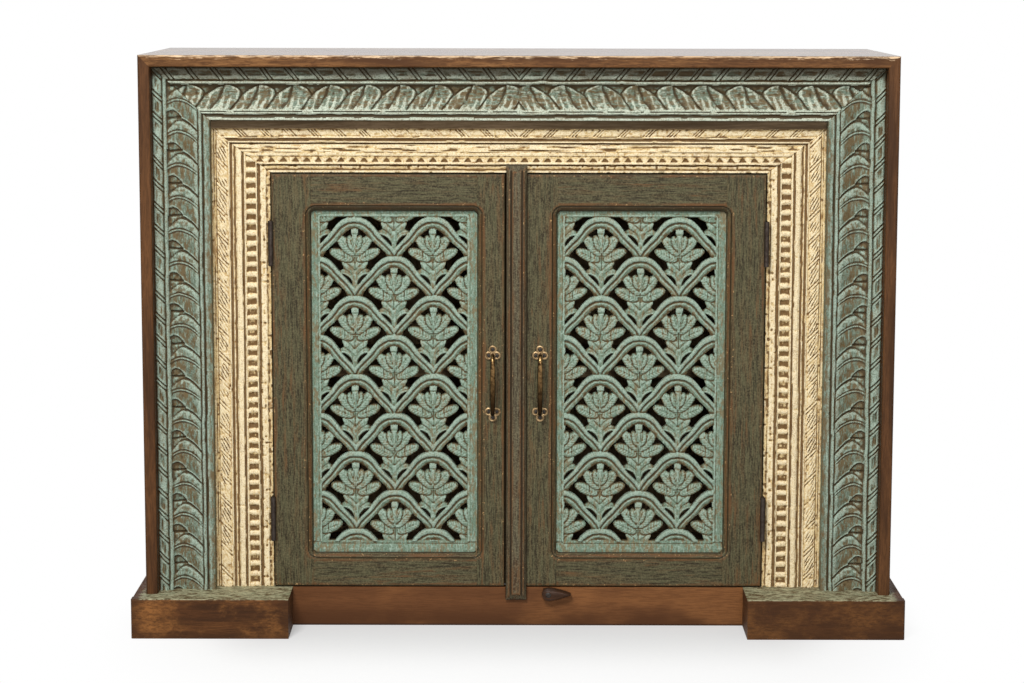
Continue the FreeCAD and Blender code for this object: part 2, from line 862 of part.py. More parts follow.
LOBES = 3


def trefoil(name, x, level, upward):
    """A plate of three round lobes against the door."""
    parts = []
    for index in range(LOBES):
        angle = math.radians(90 * upward + 360 * index / LOBES)
        lobe_x = x + size["lobe_spread"] * round(math.cos(angle), 6)
        lobe_z = level + size["lobe_spread"] * round(math.sin(angle), 6)
        parts.append(cylinder(f"{name}_lobe{index}", size["lobe_radius"], size["plate_thickness"],
                              lobe_x, door_face, lobe_z, 90))
    return parts


def bow(name, x):
    """The grip: a round rod that leaves each plate square and is bent twice at each end."""
    half = size["handle_span"] / 2
    reach = size["handle_reach"]
    bend = size["handle_bend"]
    path = doc.addObject("Sketcher::SketchObject", f"{name}_path")
    path.Placement.Rotation = FreeCAD.Rotation(Vector(1, 1, 1), 120)
    place(path, x, door_face, handle_level)
    points = [(ZERO, half), (bend - reach, half), (-reach, half - bend),
              (-reach, bend - half), (bend - reach, -half), (ZERO, -half)]
    flat = [Vector(across.value, along.value, 0) for across, along in points]
    for start, finish in zip(flat, flat[1:]):
        path.addGeometry(Part.LineSegment(start, finish))
    fix_point(path, 0, 1, *points[0])
    for index, point in enumerate(points[1:]):
        fix_point(path, index, 2, *point)
        if index:
            path.addConstraint(Sketcher.Constraint("Coincident", index - 1, 2, index, 1))
    ring = doc.addObject("Part::Circle", f"{name}_section")
    bind(ring, "Radius", size["handle_rod_radius"])
    ring.Placement.Rotation = FreeCAD.Rotation(AXIS_X, 90)
    place(ring, x, door_face, handle_level + half)
    rod = doc.addObject("Part::Sweep", f"{name}_rod")
    rod.Sections = [ring]
    rod.Spine = (path, [f"Edge{index}" for index in range(1, len(points))])
    rod.Solid = True
    rod.Transition = "Right corner"
    return rod


def handle(side, hand):
    """A bow handle: a round rod between two trefoil plates."""
    name = f"{side}_door_handle"
    x = -size["cover_offset"] + hand * size["handle_offset"]
    half = size["handle_span"] / 2
    parts = trefoil(f"{name}_top", x, handle_level + half, 1)
    parts.extend(trefoil(f"{name}_bottom", x, handle_level - half, -1))
    parts.append(bow(name, x))
    return node(fuse(name, parts), name)


handle("left", -1)
handle("right", 1)


# The turn button, which points to the right when the door is free

def turn_button():
    """A drop of wood with a round end over its screw and a slim pointed tip."""
    rail_face = front + size["rail_setback"]
    body = new_body("turn_button", size["button_from_centre"], rail_face - size["spacer_thickness"],
                    size["button_level"])
    big = size["button_end_radius"]
    tip = size["button_tip_radius"]
    reach = size["button_reach"] - tip
    slope = math.acos((big.value - tip.value) / reach.value)
    across = round(math.cos(slope), 6)
    along = round(math.sin(slope), 6)
    outline = new_sketch(body, "XZ_Plane", [
        (big * across, -big * along, (-big, ZERO)),
        (reach + tip * across, -tip * along),
        (reach + tip, ZERO),
        (reach + tip * across, tip * along),
        (big * across, big * along),
    ])
    pad(body, outline, size["button_thickness"])
    hole = body.newObject("PartDesign::SubtractiveCylinder", "turn_button_bore")
    bind(hole, "Radius", size["screw_radius"] + size["screw_play"])
    bind(hole, "Height", size["button_thickness"] + 2 * size["overrun"])
    hole.Placement.Rotation = FreeCAD.Rotation(AXIS_X, 90)
    place(hole, ZERO, size["overrun"], ZERO)
    doc.recompute()
    edge = body.newObject("PartDesign::Chamfer", "turn_button_edge")
    face = -size["button_thickness"].value
    rim = [f"Edge{index}" for index, item in enumerate(hole.Shape.Edges, start=1)
           if all(near(corner.Y, face) for corner in item.Vertexes)
           and item.CenterOfMass.sub(Vector(0, face, 0)).Length > size["screw_radius"].value]
    edge.Base = (hole, rim)
    bind(edge, "Size", size["button_edge"])
    return node(body, "turn_button")


def button_screw():
    """The screw that the button turns on, through a square spacer and into the rail."""
    rail_face = front + size["rail_setback"]
    x = size["button_from_centre"]
    level = size["button_level"]
    spacer = new_body("button_spacer", x, rail_face, level)
    side = size["spacer_side"]
    thickness = size["spacer_thickness"] - size["knuckle_play"]
    blank(spacer, side, thickness, side, "block", -side / 2, -thickness, -side / 2)
    hole = spacer.newObject("PartDesign::SubtractiveCylinder", "button_spacer_hole")
    bind(hole, "Radius", size["screw_radius"] + size["screw_play"])
    bind(hole, "Height", size["spacer_thickness"] + 2 * size["overrun"])
    hole.Placement.Rotation = FreeCAD.Rotation(AXIS_X, 90)
    place(hole, ZERO, size["overrun"], ZERO)
    node(spacer, "button_spacer")
    shank_length = size["screw_grip"] + size["spacer_thickness"] + size["button_thickness"] + size["knuckle_play"]
    cap_face = rail_face - size["spacer_thickness"] - size["button_thickness"] - size["knuckle_play"]
    shank = cylinder("button_screw_shank", size["screw_radius"], shank_length, x, cap_face, level, -90)
    cap = cylinder("button_screw_cap", size["screw_cap_radius"], size["screw_cap_rise"], x, cap_face, level, 90)
    return node(fuse("button_screw", [shank, cap]), "button_screw")


turn_button()
button_screw()


# The finished pieces

def check_and_write():
    """Stops on a failed feature or a bad solid, then writes each piece to its own file."""
    doc.recompute()
    failed = [item.Name for item in doc.Objects if {"Invalid", "Error"} & set(item.State)]
    if failed:
        raise RuntimeError(f"features that failed: {failed}")
    for piece in NODES:
        shape = piece.Shape
        if shape.isNull() or not shape.isValid() or not shape.Solids:
            raise RuntimeError(f"{piece.Label} has no valid solid")
    os.makedirs("parts", exist_ok=True)
    for piece in NODES:
        piece.Shape.exportStep(f"parts/{piece.Label}.step")
    print(len(NODES), "pieces written")


check_and_write()
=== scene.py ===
"""A carved sideboard in worn paint, dressed round its solid model.

The solid model is in metres: +X is to the right of someone who faces the doors, +Y goes
back from them and +Z is up. The carving rules below work in millimetres, as a carver
measures, and are brought to metres when a mesh is filled in.
"""
import logging
import math
from contextlib import contextmanager
from dataclasses import dataclass
from enum import Enum
from typing import Iterator, Sequence

import bpy
import numpy as np
from mathutils import Matrix, Vector


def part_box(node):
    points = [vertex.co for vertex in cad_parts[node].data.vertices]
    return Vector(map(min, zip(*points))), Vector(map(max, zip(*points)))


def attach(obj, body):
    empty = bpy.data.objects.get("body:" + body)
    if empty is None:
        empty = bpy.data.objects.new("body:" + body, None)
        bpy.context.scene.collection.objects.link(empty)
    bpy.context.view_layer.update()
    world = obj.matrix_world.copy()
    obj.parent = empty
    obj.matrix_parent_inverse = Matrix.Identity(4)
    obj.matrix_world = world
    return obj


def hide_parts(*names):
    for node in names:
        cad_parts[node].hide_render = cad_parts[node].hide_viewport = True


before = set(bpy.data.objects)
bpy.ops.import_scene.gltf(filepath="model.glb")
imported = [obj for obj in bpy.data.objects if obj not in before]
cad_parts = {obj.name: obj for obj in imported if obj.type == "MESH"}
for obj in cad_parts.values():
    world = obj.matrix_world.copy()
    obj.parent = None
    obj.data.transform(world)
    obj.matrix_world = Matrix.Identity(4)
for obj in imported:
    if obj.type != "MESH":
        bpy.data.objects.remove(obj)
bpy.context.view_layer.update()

MM = 0.001
LOG = logging.getLogger("sideboard")

Field = np.ndarray
Colour = tuple[float, float, float, float]
Span = tuple[float, float]
Line = tuple[Span, ...]
Piece = bpy.types.Object
Finish = bpy.types.Material
Socket = bpy.types.NodeSocket
Sockets = bpy.types.bpy_prop_collection

WHITE = (1.0, 1.0, 1.0, 1.0)
BLACK = (0.0, 0.0, 0.0, 1.0)
QUARTER_TURN = 0.5 * math.pi
TO_FRONT = (QUARTER_TURN, 0.0, 0.0)


class Body(Enum):
    """The moving parts of the sideboard."""

    CARCASS = "carcass"
    LEFT_DOOR = "left_door"
    RIGHT_DOOR = "right_door"
    TURN_BUTTON = "turn_button"


class Grain(Enum):
    """Which way the wood runs along a piece, in the order of X, Y and Z."""

    ACROSS = "across"
    DEEP = "deep"
    UPRIGHT = "upright"

    def scales(self, drawn: float = 0.06) -> list[float]:
        """How a pattern is scaled on each axis, so that it is drawn out along the wood."""
        return [drawn if way is self else 1.0 for way in Grain]


class Hand(Enum):
    """The two sides of the sideboard, as a sign along X."""

    LEFT = -1
    RIGHT = 1

    @property
    def word(self) -> str:
        """The side's name, as the nodes spell it."""
        return self.name.lower()

    @property
    def door(self) -> Body:
        """The door on this side."""
        return Body(f"{self.word}_door")


# Small sums on whole fields of points


def metres(lengths: Sequence[float]) -> tuple[float, ...]:
    """Millimetres to metres."""
    return tuple(length * MM for length in lengths)


def unit(value: Field) -> Field:
    """The value, held between 0 and 1."""
    return np.clip(value, 0.0, 1.0)


def ramp(value: Field, low: float, high: float) -> Field:
    """A smooth step from 0 at low to 1 at high."""
    share = unit((value - low) / (high - low))
    return share * share * (3.0 - 2.0 * share)


def groove(distance: Field, width: float) -> Field:
    """A rounded groove about distance 0: 1 in its middle, 0 beyond its width."""
    return unit(1.0 - (distance / width) ** 2)


def roll(value: Field, low: float, high: float) -> Field:
    """A half-round moulding between two lines: 0 at both, 1 in the middle."""
    centred = (2.0 * value - low - high) / (high - low)
    return np.sqrt(unit(1.0 - centred**2))


def ripple(along: Field, across: Field, cell: float | Span, seed: int) -> Field:
    """Smooth random numbers over a plane.

    Args:
        along: first place of each point, in millimetres.
        across: second place of each point, in millimetres.
        cell: how far apart the draws are, or how far each way.
        seed: which set of draws.

    Returns:
        A field from -1 to 1.
    """
    wide, tall = cell if isinstance(cell, tuple) else (cell, cell)
    a = (along - along.min()) / wide
    b = (across - across.min()) / tall
    draws = np.random.default_rng(seed).uniform(-1.0, 1.0, (int(a.max()) + 2, int(b.max()) + 2))
    i, j = a.astype(int), b.astype(int)
    s, t = ramp(a - i, 0.0, 1.0), ramp(b - j, 0.0, 1.0)
    low = draws[i, j] * (1 - s) + draws[i + 1, j] * s
    high = draws[i, j + 1] * (1 - s) + draws[i + 1, j + 1] * s
    return low * (1 - t) + high * t


def blurred(depth: Field, spread: int) -> Field:
    """The depth averaged over its neighbours.

    Args:
        depth: the field.
        spread: how many points wide the bell of weights is.

    Returns:
        The averaged field.
    """
    reach = 2 * spread
    weights = [math.exp(-0.5 * (offset / spread) ** 2) for offset in range(-reach, reach + 1)]
    for axis in (0, 1):
        padding = [(reach, reach) if axis == side else (0, 0) for side in (0, 1)]
        padded = np.pad(depth, padding, mode="edge")
        places = np.arange(depth.shape[axis])
        layers = (np.take(padded, places + index, axis=axis) for index in range(len(weights)))
        depth = sum(weight * layer for weight, layer in zip(weights, layers)) / sum(weights)
    return depth


def box_distance(x: Field, z: Field, low: Span, high: Span, radius: float) -> Field:
    """How far each point is outside a rectangle with round corners.

    Args:
        x: place to the right.
        z: place upwards.
        low: the rectangle's lower left corner.
        high: its upper right corner.
        radius: how round the corners are.

    Returns:
        The distance, negative inside.
    """
    over_x = np.abs(x - (low[0] + high[0]) / 2) - (high[0] - low[0]) / 2 + radius
    over_z = np.abs(z - (low[1] + high[1]) / 2) - (high[1] - low[1]) / 2 + radius
    outside = np.hypot(np.maximum(over_x, 0.0), np.maximum(over_z, 0.0))
    return outside + np.minimum(np.maximum(over_x, over_z), 0.0) - radius


def rectangle(low: Span, high: Span, step: float) -> tuple[Field, Field]:
    """A plain grid of points over a rectangle, a step apart."""
    counts = [int(round((far - near) / step)) + 1 for near, far in zip(low, high)]
    return np.meshgrid(*(np.linspace(near, far, count) for near, far, count in zip(low, high, counts)))


# Shader nodes


def ink(*screen: int) -> Colour:
    """A colour as a screen shows it, turned into the numbers that light adds up in.

    Args:
        screen: red, green and blue, from 0 to 255.

    Returns:
        The same colour, with an opacity of 1.
    """
    shares = [value / 255.0 for value in screen]
    straight = [share / 12.92 if share <= 0.04045 else ((share + 0.055) / 1.055) ** 2.4 for share in shares]
    return (*straight, 1.0)


class Nodes:
    """A node tree, with short ways to add and link its nodes."""

    MIX_COLOURS = (6, 7)
    MIXED_COLOUR = 2

    def __init__(self, tree: bpy.types.NodeTree) -> None:
        """Takes the tree that gets the nodes."""
        self.tree = tree

    def put(self, socket: Socket, value: object) -> None:
        """Links a socket to another one, or sets it to a plain value.

        Args:
            socket: the socket.
            value: the other socket, or the value.
        """
        if isinstance(value, Socket):
            self.tree.links.new(value, socket)
        else:
            socket.default_value = value

    def add(self, kind: str, inputs: dict[str | int, object], **settings: object) -> Sockets:
        """Adds a node.

        Args:
            kind: what it is.
            inputs: what each of its sockets is linked or set to.
            settings: its own properties.

        Returns:
            Its outputs.
        """
        node = self.tree.nodes.new(f"ShaderNode{kind}")
        for name, value in settings.items():
            setattr(node, name, value)
        for name, value in inputs.items():
            self.put(node.inputs[name], value)
        return node.outputs

    def sum(self, operation: str, *values: object) -> Socket:
        """A sum on one, two or three values."""
        return self.add("Math", dict(enumerate(values)), operation=operation)[0]

    def times(self, first: object, second: object) -> Socket:
        """The product of two values."""
        return self.sum("MULTIPLY", first, second)

    def step(self, value: object, low: float, high: float, to: Span = (0.0, 1.0)) -> Socket:
        """A smooth step between two values of another field.

        Args:
            value: that field.
            low: where the step starts.
            high: where it ends.
            to: what it goes from and to.

        Returns:
            The step.
        """
        names = ("Value", "From Min", "From Max", "To Min", "To Max")
        inputs = dict(zip(names, (value, low, high, *to)))
        return self.add("MapRange", inputs, interpolation_type="SMOOTHSTEP")[0]

    def blend(self, share: object, first: object, second: object) -> Socket:
        """A mix of two colours."""
        inputs = {"Factor": share, **dict(zip(self.MIX_COLOURS, (first, second)))}
        return self.add("Mix", inputs, data_type="RGBA")[self.MIXED_COLOUR]

    def glaze(self, colour: object, tint: object, field: object, low: float, high: float,
              most: float = 1.0) -> Socket:
        """A colour that a tint covers as a field goes from low to high, up to the most."""
        return self.blend(self.step(field, low, high, (0.0, most)), colour, tint)

    def coats(self, colour: object, *coats: Sequence[object]) -> Socket:
        """A colour under several glazes.

        Args:
            colour: the colour under them.
            coats: what each glaze is given after its colour.

        Returns:
            What shows.
        """
        for coat in coats:
            colour = self.glaze(colour, *coat)
        return colour

    def stirred(self, base: object, noise: Socket, reach: float) -> Socket:
        """A value moved to both sides by a noise, which is 0.5 on average."""
        return self.sum("MULTIPLY_ADD", self.sum("SUBTRACT", noise, 0.5), reach, base)

    def seen(self) -> Socket:
        """Tells what is seen from what lights the scene.

        Returns:
            One for what the camera, a mirror or glass shows, and none for the light itself.
        """
        path = self.add("LightPath", {})
        mirrored = self.sum("MAXIMUM", path["Is Glossy Ray"], path["Is Transmission Ray"])
        return self.sum("MAXIMUM", path["Is Camera Ray"], mirrored)


class Palette(Nodes):
    """The nodes of one material."""

    def __init__(self, name: str) -> None:
        """Starts a material with nothing but its shader and output.

        Args:
            name: the material's name.
        """
        self.material = bpy.data.materials.new(name)
        self.material.use_nodes = True
        super().__init__(self.material.node_tree)
        self.shader = self.tree.nodes["Principled BSDF"].inputs
        self.coords = self.add("TexCoord", {})["Object"]

    def mapped(self, scale: Sequence[float], turn: Sequence[float] = (0.0, 0.0, 0.0)) -> Socket:
        """The piece's own coordinates, scaled and turned."""
        return self.add("Mapping", {"Vector": self.coords, "Scale": scale, "Rotation": turn})[0]

    def noise(self, vector: Socket | Sequence[float] | None, scale: float, detail: float = 4.0,
              rough: float = 0.55, twist: float = 0.0) -> Socket:
        """A cloud of soft random values.

        Args:
            vector: where it is read, or how the piece's own coordinates are scaled for it.
            scale: how many clouds fit in a metre.
            detail: how many finer clouds are added.
            rough: how strong those are.
            twist: how far the pattern is bent.

        Returns:
            The values, about 0.5 on average.
        """
        if vector is None:
            vector = self.coords
        elif not isinstance(vector, Socket):
            vector = self.mapped(vector)
        names = ("Vector", "Scale", "Detail", "Roughness", "Distortion")
        return self.add("TexNoise", dict(zip(names, (vector, scale, detail, rough, twist))))["Fac"]

    def attribute(self, name: str) -> Socket:
        """A value that the mesh carries at each point."""
        return self.add("Attribute", {}, attribute_name=name)["Fac"]

    def axis(self, letter: str) -> Socket:
        """One of the piece's own coordinates."""
        return self.add("SeparateXYZ", {0: self.coords})[letter]

    def bump(self, height: Socket, strength: float, distance: float) -> None:
        """Small relief in the shader, for what is too fine for the mesh."""
        relief = self.add("Bump", {"Strength": strength, "Distance": distance, "Height": height})
        self.put(self.shader["Normal"], relief["Normal"])

    def done(self, colour: object, roughness: object, sheen: object = 0.5, metal: float = 0.0) -> Finish:
        """Ties the colour and the gloss to the shader.

        Args:
            colour: the base colour.
            roughness: how rough the surface is.
            sheen: how strongly it mirrors.
            metal: how metallic it is.

        Returns:
            The finished material.
        """
        names = ("Base Color", "Roughness", "Specular IOR Level", "Metallic")
        for name, value in zip(names, (colour, roughness, sheen, metal)):
            self.put(self.shader[name], value)
        return self.material


# Finishes


@dataclass(frozen=True)
class StainedWood:
    """Dark stained hardwood under a thin wax: streaks, pores and warm patches."""

    name: str
    dark: Colour
    warm: Colour
    pale: Colour
    grain: Grain
    patches: float = 0.35
    gloss: float = 0.5
    sheen: float = 0.14

    def colours(self, nodes: Palette) -> tuple[Socket, Socket]:
        """Adds the wood's nodes.

        Args:
            nodes: the material that gets them.

        Returns:
            The colour and the field of fine grain.
        """
        cloud = nodes.noise(self.grain.scales(0.22), 14.0, 4.0, 0.6)
        figure = nodes.noise(self.grain.scales(), 75.0, 5.0, 0.62, 0.5)
        pores = nodes.noise(self.grain.scales(), 700.0, 3.0, 0.7)
        mottle = nodes.noise(self.grain.scales(0.25), 240.0, 4.0, 0.7)
        colour = nodes.coats(
            self.dark,
            (self.warm, figure, 0.38, 0.64),
            (self.dark, mottle, 0.48, 0.62, 0.4),
            (self.pale, cloud, 0.46, 0.66, self.patches),
            (self.dark, pores, 0.54, 0.42, 0.5),
        )
        return colour, pores

    def material(self) -> Finish:
        """Makes the material.

        Returns:
            It, finished.
        """
        nodes = Palette(self.name)
        colour, pores = self.colours(nodes)
        nodes.bump(pores, 0.3, 0.0006)
        return nodes.done(colour, nodes.step(pores, 0.4, 0.6, (self.gloss + 0.12, self.gloss)), self.sheen)


@dataclass(frozen=True)
class WaxedTop:
    """The top board's wood: glossy above, with its front edge worn pale along the arris and a painted
    highlight in a thin line just under its top.
    """

    wood: StainedWood
    rubbed: Colour
    reach: float = 3.4
    front_gloss: Span = (0.5, 0.14)

    def material(self) -> Finish:
        """Makes the material.

        Returns:
            It, finished.
        """
        nodes = Palette(self.wood.name)
        colour, pores = self.wood.colours(nodes)
        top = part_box("top_board")[1].z
        height = nodes.axis("Z")
        ragged = nodes.noise((0.12, 1.0, 1.0), 420.0, 5.0, 0.75)
        patchy = nodes.noise((0.5, 1.0, 1.0), 40.0, 4.0, 0.65)
        wander = nodes.stirred(height, ragged, 34 * MM)
        arris = nodes.step(wander, top - self.reach * MM, top + 1.0 * MM)
        arris = nodes.times(arris, nodes.step(patchy, 0.4, 0.6, (0.3, 1.0)))
        # Painted highlight: a thin pale line along the front just under the top, where a rounded arris would
        # catch the light.
        line = nodes.step(height, top - 2.6 * MM, top - 1.4 * MM, (0.0, 0.8))
        upper = nodes.step(height, top - 0.5 * MM, top - 0.1 * MM)
        front = nodes.step(upper, 1.0, 0.0)
        rubbed = nodes.times(nodes.times(nodes.sum("MAXIMUM", arris, line), front), 0.8)
        colour = nodes.blend(rubbed, colour, self.rubbed)
        dark = nodes.times(nodes.step(ragged, 0.52, 0.42, (0.0, 0.75)), front)
        colour = nodes.blend(dark, colour, self.wood.dark)
        nodes.bump(pores, 0.3, 0.0006)
        nodes.shader["Specular Tint"].default_value = (1.0, 0.93, 0.86, 1.0)
        gloss, sheen = (
            nodes.step(upper, 0.0, 1.0, ends)
            for ends in zip(self.front_gloss, (self.wood.gloss, self.wood.sheen))
        )
        return nodes.done(colour, gloss, sheen)


@dataclass(frozen=True)
class SawnWood:
    """Wood whose growth rings show as long arches along the board."""

    name: str
    dark: Colour
    warm: Colour
    pale: Colour
    foot: Colour
    height: float = 62.0

    def material(self) -> Finish:
        """Makes the material.

        Returns:
            It, finished.
        """
        nodes = Palette(self.name)
        bands = {"Scale": 1.6, "Distortion": 7.0, "Detail": 3.0, "Detail Scale": 0.7}
        bands["Vector"] = nodes.mapped((0.55, 3.0, 5.0), (0.0, 0.1, 0.0))
        rings = nodes.add("TexWave", bands, wave_type="BANDS", bands_direction="Z")["Fac"]
        pores = nodes.noise(Grain.ACROSS.scales(), 700.0, 3.0, 0.7)
        cloud = nodes.noise((0.5, 1.0, 1.0), 8.0, 4.0, 0.6)
        height = nodes.axis("Z")
        colour = nodes.coats(
            self.dark,
            (self.warm, height, 0.0, self.height * MM),
            (self.dark, rings, 0.25, 0.95, 0.4),
            (self.pale, cloud, 0.46, 0.66, 0.7),
            (self.dark, pores, 0.54, 0.42, 0.4),
            (self.foot, height, 3.5 * MM, 1.5 * MM, 0.8),
        )
        nodes.bump(pores, 0.3, 0.0006)
        return nodes.done(colour, nodes.step(pores, 0.4, 0.6, (0.62, 0.48)), 0.14)


@dataclass(frozen=True)
class CarvedPaint:
    """Old paint over carving: dark wax in the hollows and paler paint on the ridges, partly worn paint and
    partly painted highlight, with a band of painted shadow where the top board overhangs.

    The mesh carries "hollow" and "ridge" at each point, from 0 to 1.
    """

    name: str
    base: Colour
    pale: Colour
    shade: Colour
    wax: Colour
    wood: Colour
    grain: Grain
    dirt: Span = (0.79, 0.93)
    rub: float = 0.75
    waxed: Span = (0.3, 0.75)
    # How strongly the ridges are made pale: partly worn paint and partly painted highlight.
    crest: float = 0.8
    gloss: float = 0.6
    # Heights in metres where painted shadow under the top board sets in; the default lies above the
    # sideboard.
    soot: Span = (9.0, 9.1)

    def material(self) -> Finish:
        """Makes the material.

        Returns:
            It, finished.
        """
        nodes = Palette(self.name)
        streak = nodes.noise(self.grain.scales(0.1), 520.0, 3.0, 0.7)
        patch = nodes.noise(self.grain.scales(0.4), 48.0, 5.0, 0.65)
        grime = nodes.noise(self.grain.scales(0.3), 250.0, 5.0, 0.7)
        cloud = nodes.noise(None, 22.0, 4.0, 0.6)
        speck = nodes.noise(None, 480.0, 3.0, 0.7)
        soiled = nodes.sum("MULTIPLY_ADD", patch, 0.6, grime)
        colour = nodes.coats(
            self.shade,
            (self.base, speck, 0.4, 0.6),
            (self.shade, cloud, 0.5, 0.62, 0.4),
            (self.pale, streak, 0.52, 0.64, 0.55),
            (self.wood, soiled, *self.dirt, self.rub),
        )
        # Painted highlight, partly worn paint: the pale colour laid over the ridges.
        crest = nodes.step(nodes.attribute("ridge"), 0.12, 0.6, (0.0, self.crest))
        bright = nodes.times(crest, nodes.step(speck, 0.38, 0.54, (0.3, 1.0)))
        colour = nodes.blend(bright, colour, self.pale)
        reach = nodes.stirred(nodes.stirred(nodes.attribute("hollow"), streak, 1.2), grime, 1.2)
        # Painted shadow: the wax colour laid over the heights under the top board's overhang.
        height = nodes.stirred(nodes.axis("Z"), patch, 0.03)
        waxed, top_shadow_coat = (self.wax, reach, *self.waxed, 0.92), (self.wax, height, *self.soot, 0.75)
        colour = nodes.coats(colour, waxed, top_shadow_coat)
        nodes.bump(nodes.sum("MULTIPLY_ADD", streak, 0.7, speck), 0.5, 0.0012)
        return nodes.done(colour, nodes.step(speck, 0.4, 0.6, (self.gloss + 0.12, self.gloss)), 0.16)


@dataclass(frozen=True)
class RubbedPaint:
    """Thin grey-green paint that the grain wears through in red-brown streaks."""

    name: str
    paint: Colour
    pale: Colour
    wood: Colour
    dark: Colour
    chip: Colour
    grain: Grain
    gloss: float = 0.5
    # Heights in metres of the painted shade along the sight's top edge: where it starts, where it is full,
    # where it fades and where it ends.
    shaded: tuple[float, float, float, float] = (0.649, 0.652, 0.665, 0.667)

    def material(self) -> Finish:
        """Makes the material, with painted shade in a band of heights along the sight's top edge where the
        wood runs across.

        Returns:
            It, finished.
        """
        nodes = Palette(self.name)
        fine = nodes.noise(self.grain.scales(0.07), 560.0, 4.0, 0.75)
        wide = nodes.noise(self.grain.scales(0.07), 170.0, 5.0, 0.7, 0.4)
        cloud = nodes.noise(self.grain.scales(0.3), 34.0, 5.0, 0.65)
        speck = nodes.noise(None, 420.0, 2.0, 0.6)
        chip = nodes.noise(None, 210.0, 2.0, 0.7)
        ridge = nodes.attribute("ridge")
        colour = nodes.coats(self.dark, (self.paint, fine, 0.4, 0.58), (self.pale, speck, 0.44, 0.62, 0.4))
        broken = nodes.times(nodes.step(wide, 0.48, 0.6), nodes.step(fine, 0.42, 0.56, (0.25, 1.0)))
        layers = (
            (nodes.step(cloud, 0.44, 0.6, (0.2, 0.75)), broken, self.wood),
            (nodes.step(wide, 0.5, 0.38), nodes.step(fine, 0.54, 0.4, (0.1, 0.85)), self.dark),
            (nodes.step(ridge, 0.2, 0.9), nodes.step(wide, 0.4, 0.58, (0.15, 0.75)), self.wood),
            (nodes.step(ridge, 0.3, 0.9), nodes.step(chip, 0.64, 0.7, (0.0, 0.8)), self.chip),
        )
        for first, second, tint in layers:
            colour = nodes.blend(nodes.times(first, second), colour, tint)
        colour = nodes.glaze(colour, self.dark, nodes.attribute("hollow"), 0.12, 0.7, 0.85)
        # Painted shade along the sight's top edge, where the top rail's moulding faces down.
        if self.grain is Grain.ACROSS:
            height = nodes.axis("Z")
            low, full, fades, high = self.shaded
            under = nodes.times(nodes.step(height, low, full, (0.0, 0.62)), nodes.step(height, high, fades))
            colour = nodes.blend(under, colour, self.dark)
        nodes.bump(nodes.sum("ADD", fine, wide), 0.6, 0.001)
        return nodes.done(colour, nodes.step(speck, 0.35, 0.65, (self.gloss + 0.12, self.gloss)), 0.16)


@dataclass(frozen=True)
class PaintedBlock:
    """A plinth block: stained wood with old paint left on its top, inside a bare margin."""

    name: str
    wood: StainedWood
    paint: Colour
    pale: Colour
    bare: Colour
    waver: float = 30.0
    margin: Span = (10.0, 2.0)
    side_rim: Span = (-22.0, -1.0)
    foot_rim: Span = (16.0, 2.0)
    darkest: float = 0.6

    def _painted(self, nodes: Palette, streak: Socket) -> Socket:
        """The broken paint: streaked, and lost in blotches.

        Args:
            nodes: the material that gets it.
            streak: its streaks.

        Returns:
            Its colour.
        """
        blotch = nodes.noise((0.4, 1.0, 1.0), 70.0, 4.0, 0.7)
        painted = nodes.glaze(self.paint, self.pale, streak, 0.44, 0.56)
        left = nodes.sum("MULTIPLY_ADD", blotch, -0.5, streak)
        return nodes.glaze(painted, self.bare, left, 0.26, 0.19, 0.9)

    def _dark(self, nodes: Palette, aside: Socket) -> Socket:
        """How dark the wood is: at the rims of the front, and over all of the right block.

        Args:
            nodes: the material that gets it.
            aside: distance from the middle of the sideboard.

        Returns:
            The share of dark, from 0 to 1.
        """
        low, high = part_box("left_block_front")
        from_middle = nodes.sum("ABSOLUTE", nodes.sum("ADD", aside, (low.x + high.x) / 2))
        inside = nodes.sum("SUBTRACT", from_middle, (high.x - low.x) / 2)
        shares = (0.0, self.darkest)
        side_rim = nodes.step(inside, *metres(self.side_rim), shares)
        foot_rim = nodes.step(nodes.axis("Z"), *metres(self.foot_rim), shares)
        right = nodes.step(nodes.axis("X"), -0.3, 0.3, shares)
        return nodes.sum("MAXIMUM", nodes.sum("MAXIMUM", side_rim, foot_rim), right)

    def material(self) -> Finish:
        """Makes the material.

        Returns:
            It, finished.
        """
        nodes = Palette(self.name)
        colour, pores = self.wood.colours(nodes)
        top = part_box("left_block_cap")[1].z
        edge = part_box("right_side_board")[1].x
        aside = nodes.sum("ABSOLUTE", nodes.axis("X"))
        outward = nodes.stirred(aside, nodes.noise((0.6, 1.0, 1.0), 110.0, 4.0, 0.7), self.waver * MM)
        upper = nodes.step(nodes.axis("Z"), top - 1.2 * MM, top - 0.2 * MM)
        outer, inner = (edge + gap for gap in metres(self.margin))
        share = nodes.times(upper, nodes.step(outward, outer, inner))
        streak = nodes.noise((0.3, 1.0, 1.0), 300.0, 5.0, 0.75)
        glow = nodes.noise(nodes.mapped((0.8, 1.0, 1.2), (0.0, 0.5, 0.0)), 17.0, 6.0, 0.7, 0.2)
        broken = nodes.step(streak, 0.4, 0.56, (0.3, 1.0))
        glow = nodes.times(nodes.step(glow, 0.42, 0.7, (0.0, 0.85)), broken)
        colour = nodes.blend(glow, colour, self.wood.pale)
        colour = nodes.blend(self._dark(nodes, aside), colour, self.wood.dark)
        nodes.bump(nodes.sum("ADD", pores, streak), 0.35, 0.0007)
        colour = nodes.blend(share, colour, self._painted(nodes, streak))
        return nodes.done(colour, nodes.step(pores, 0.4, 0.6, (0.66, 0.5)), 0.14)


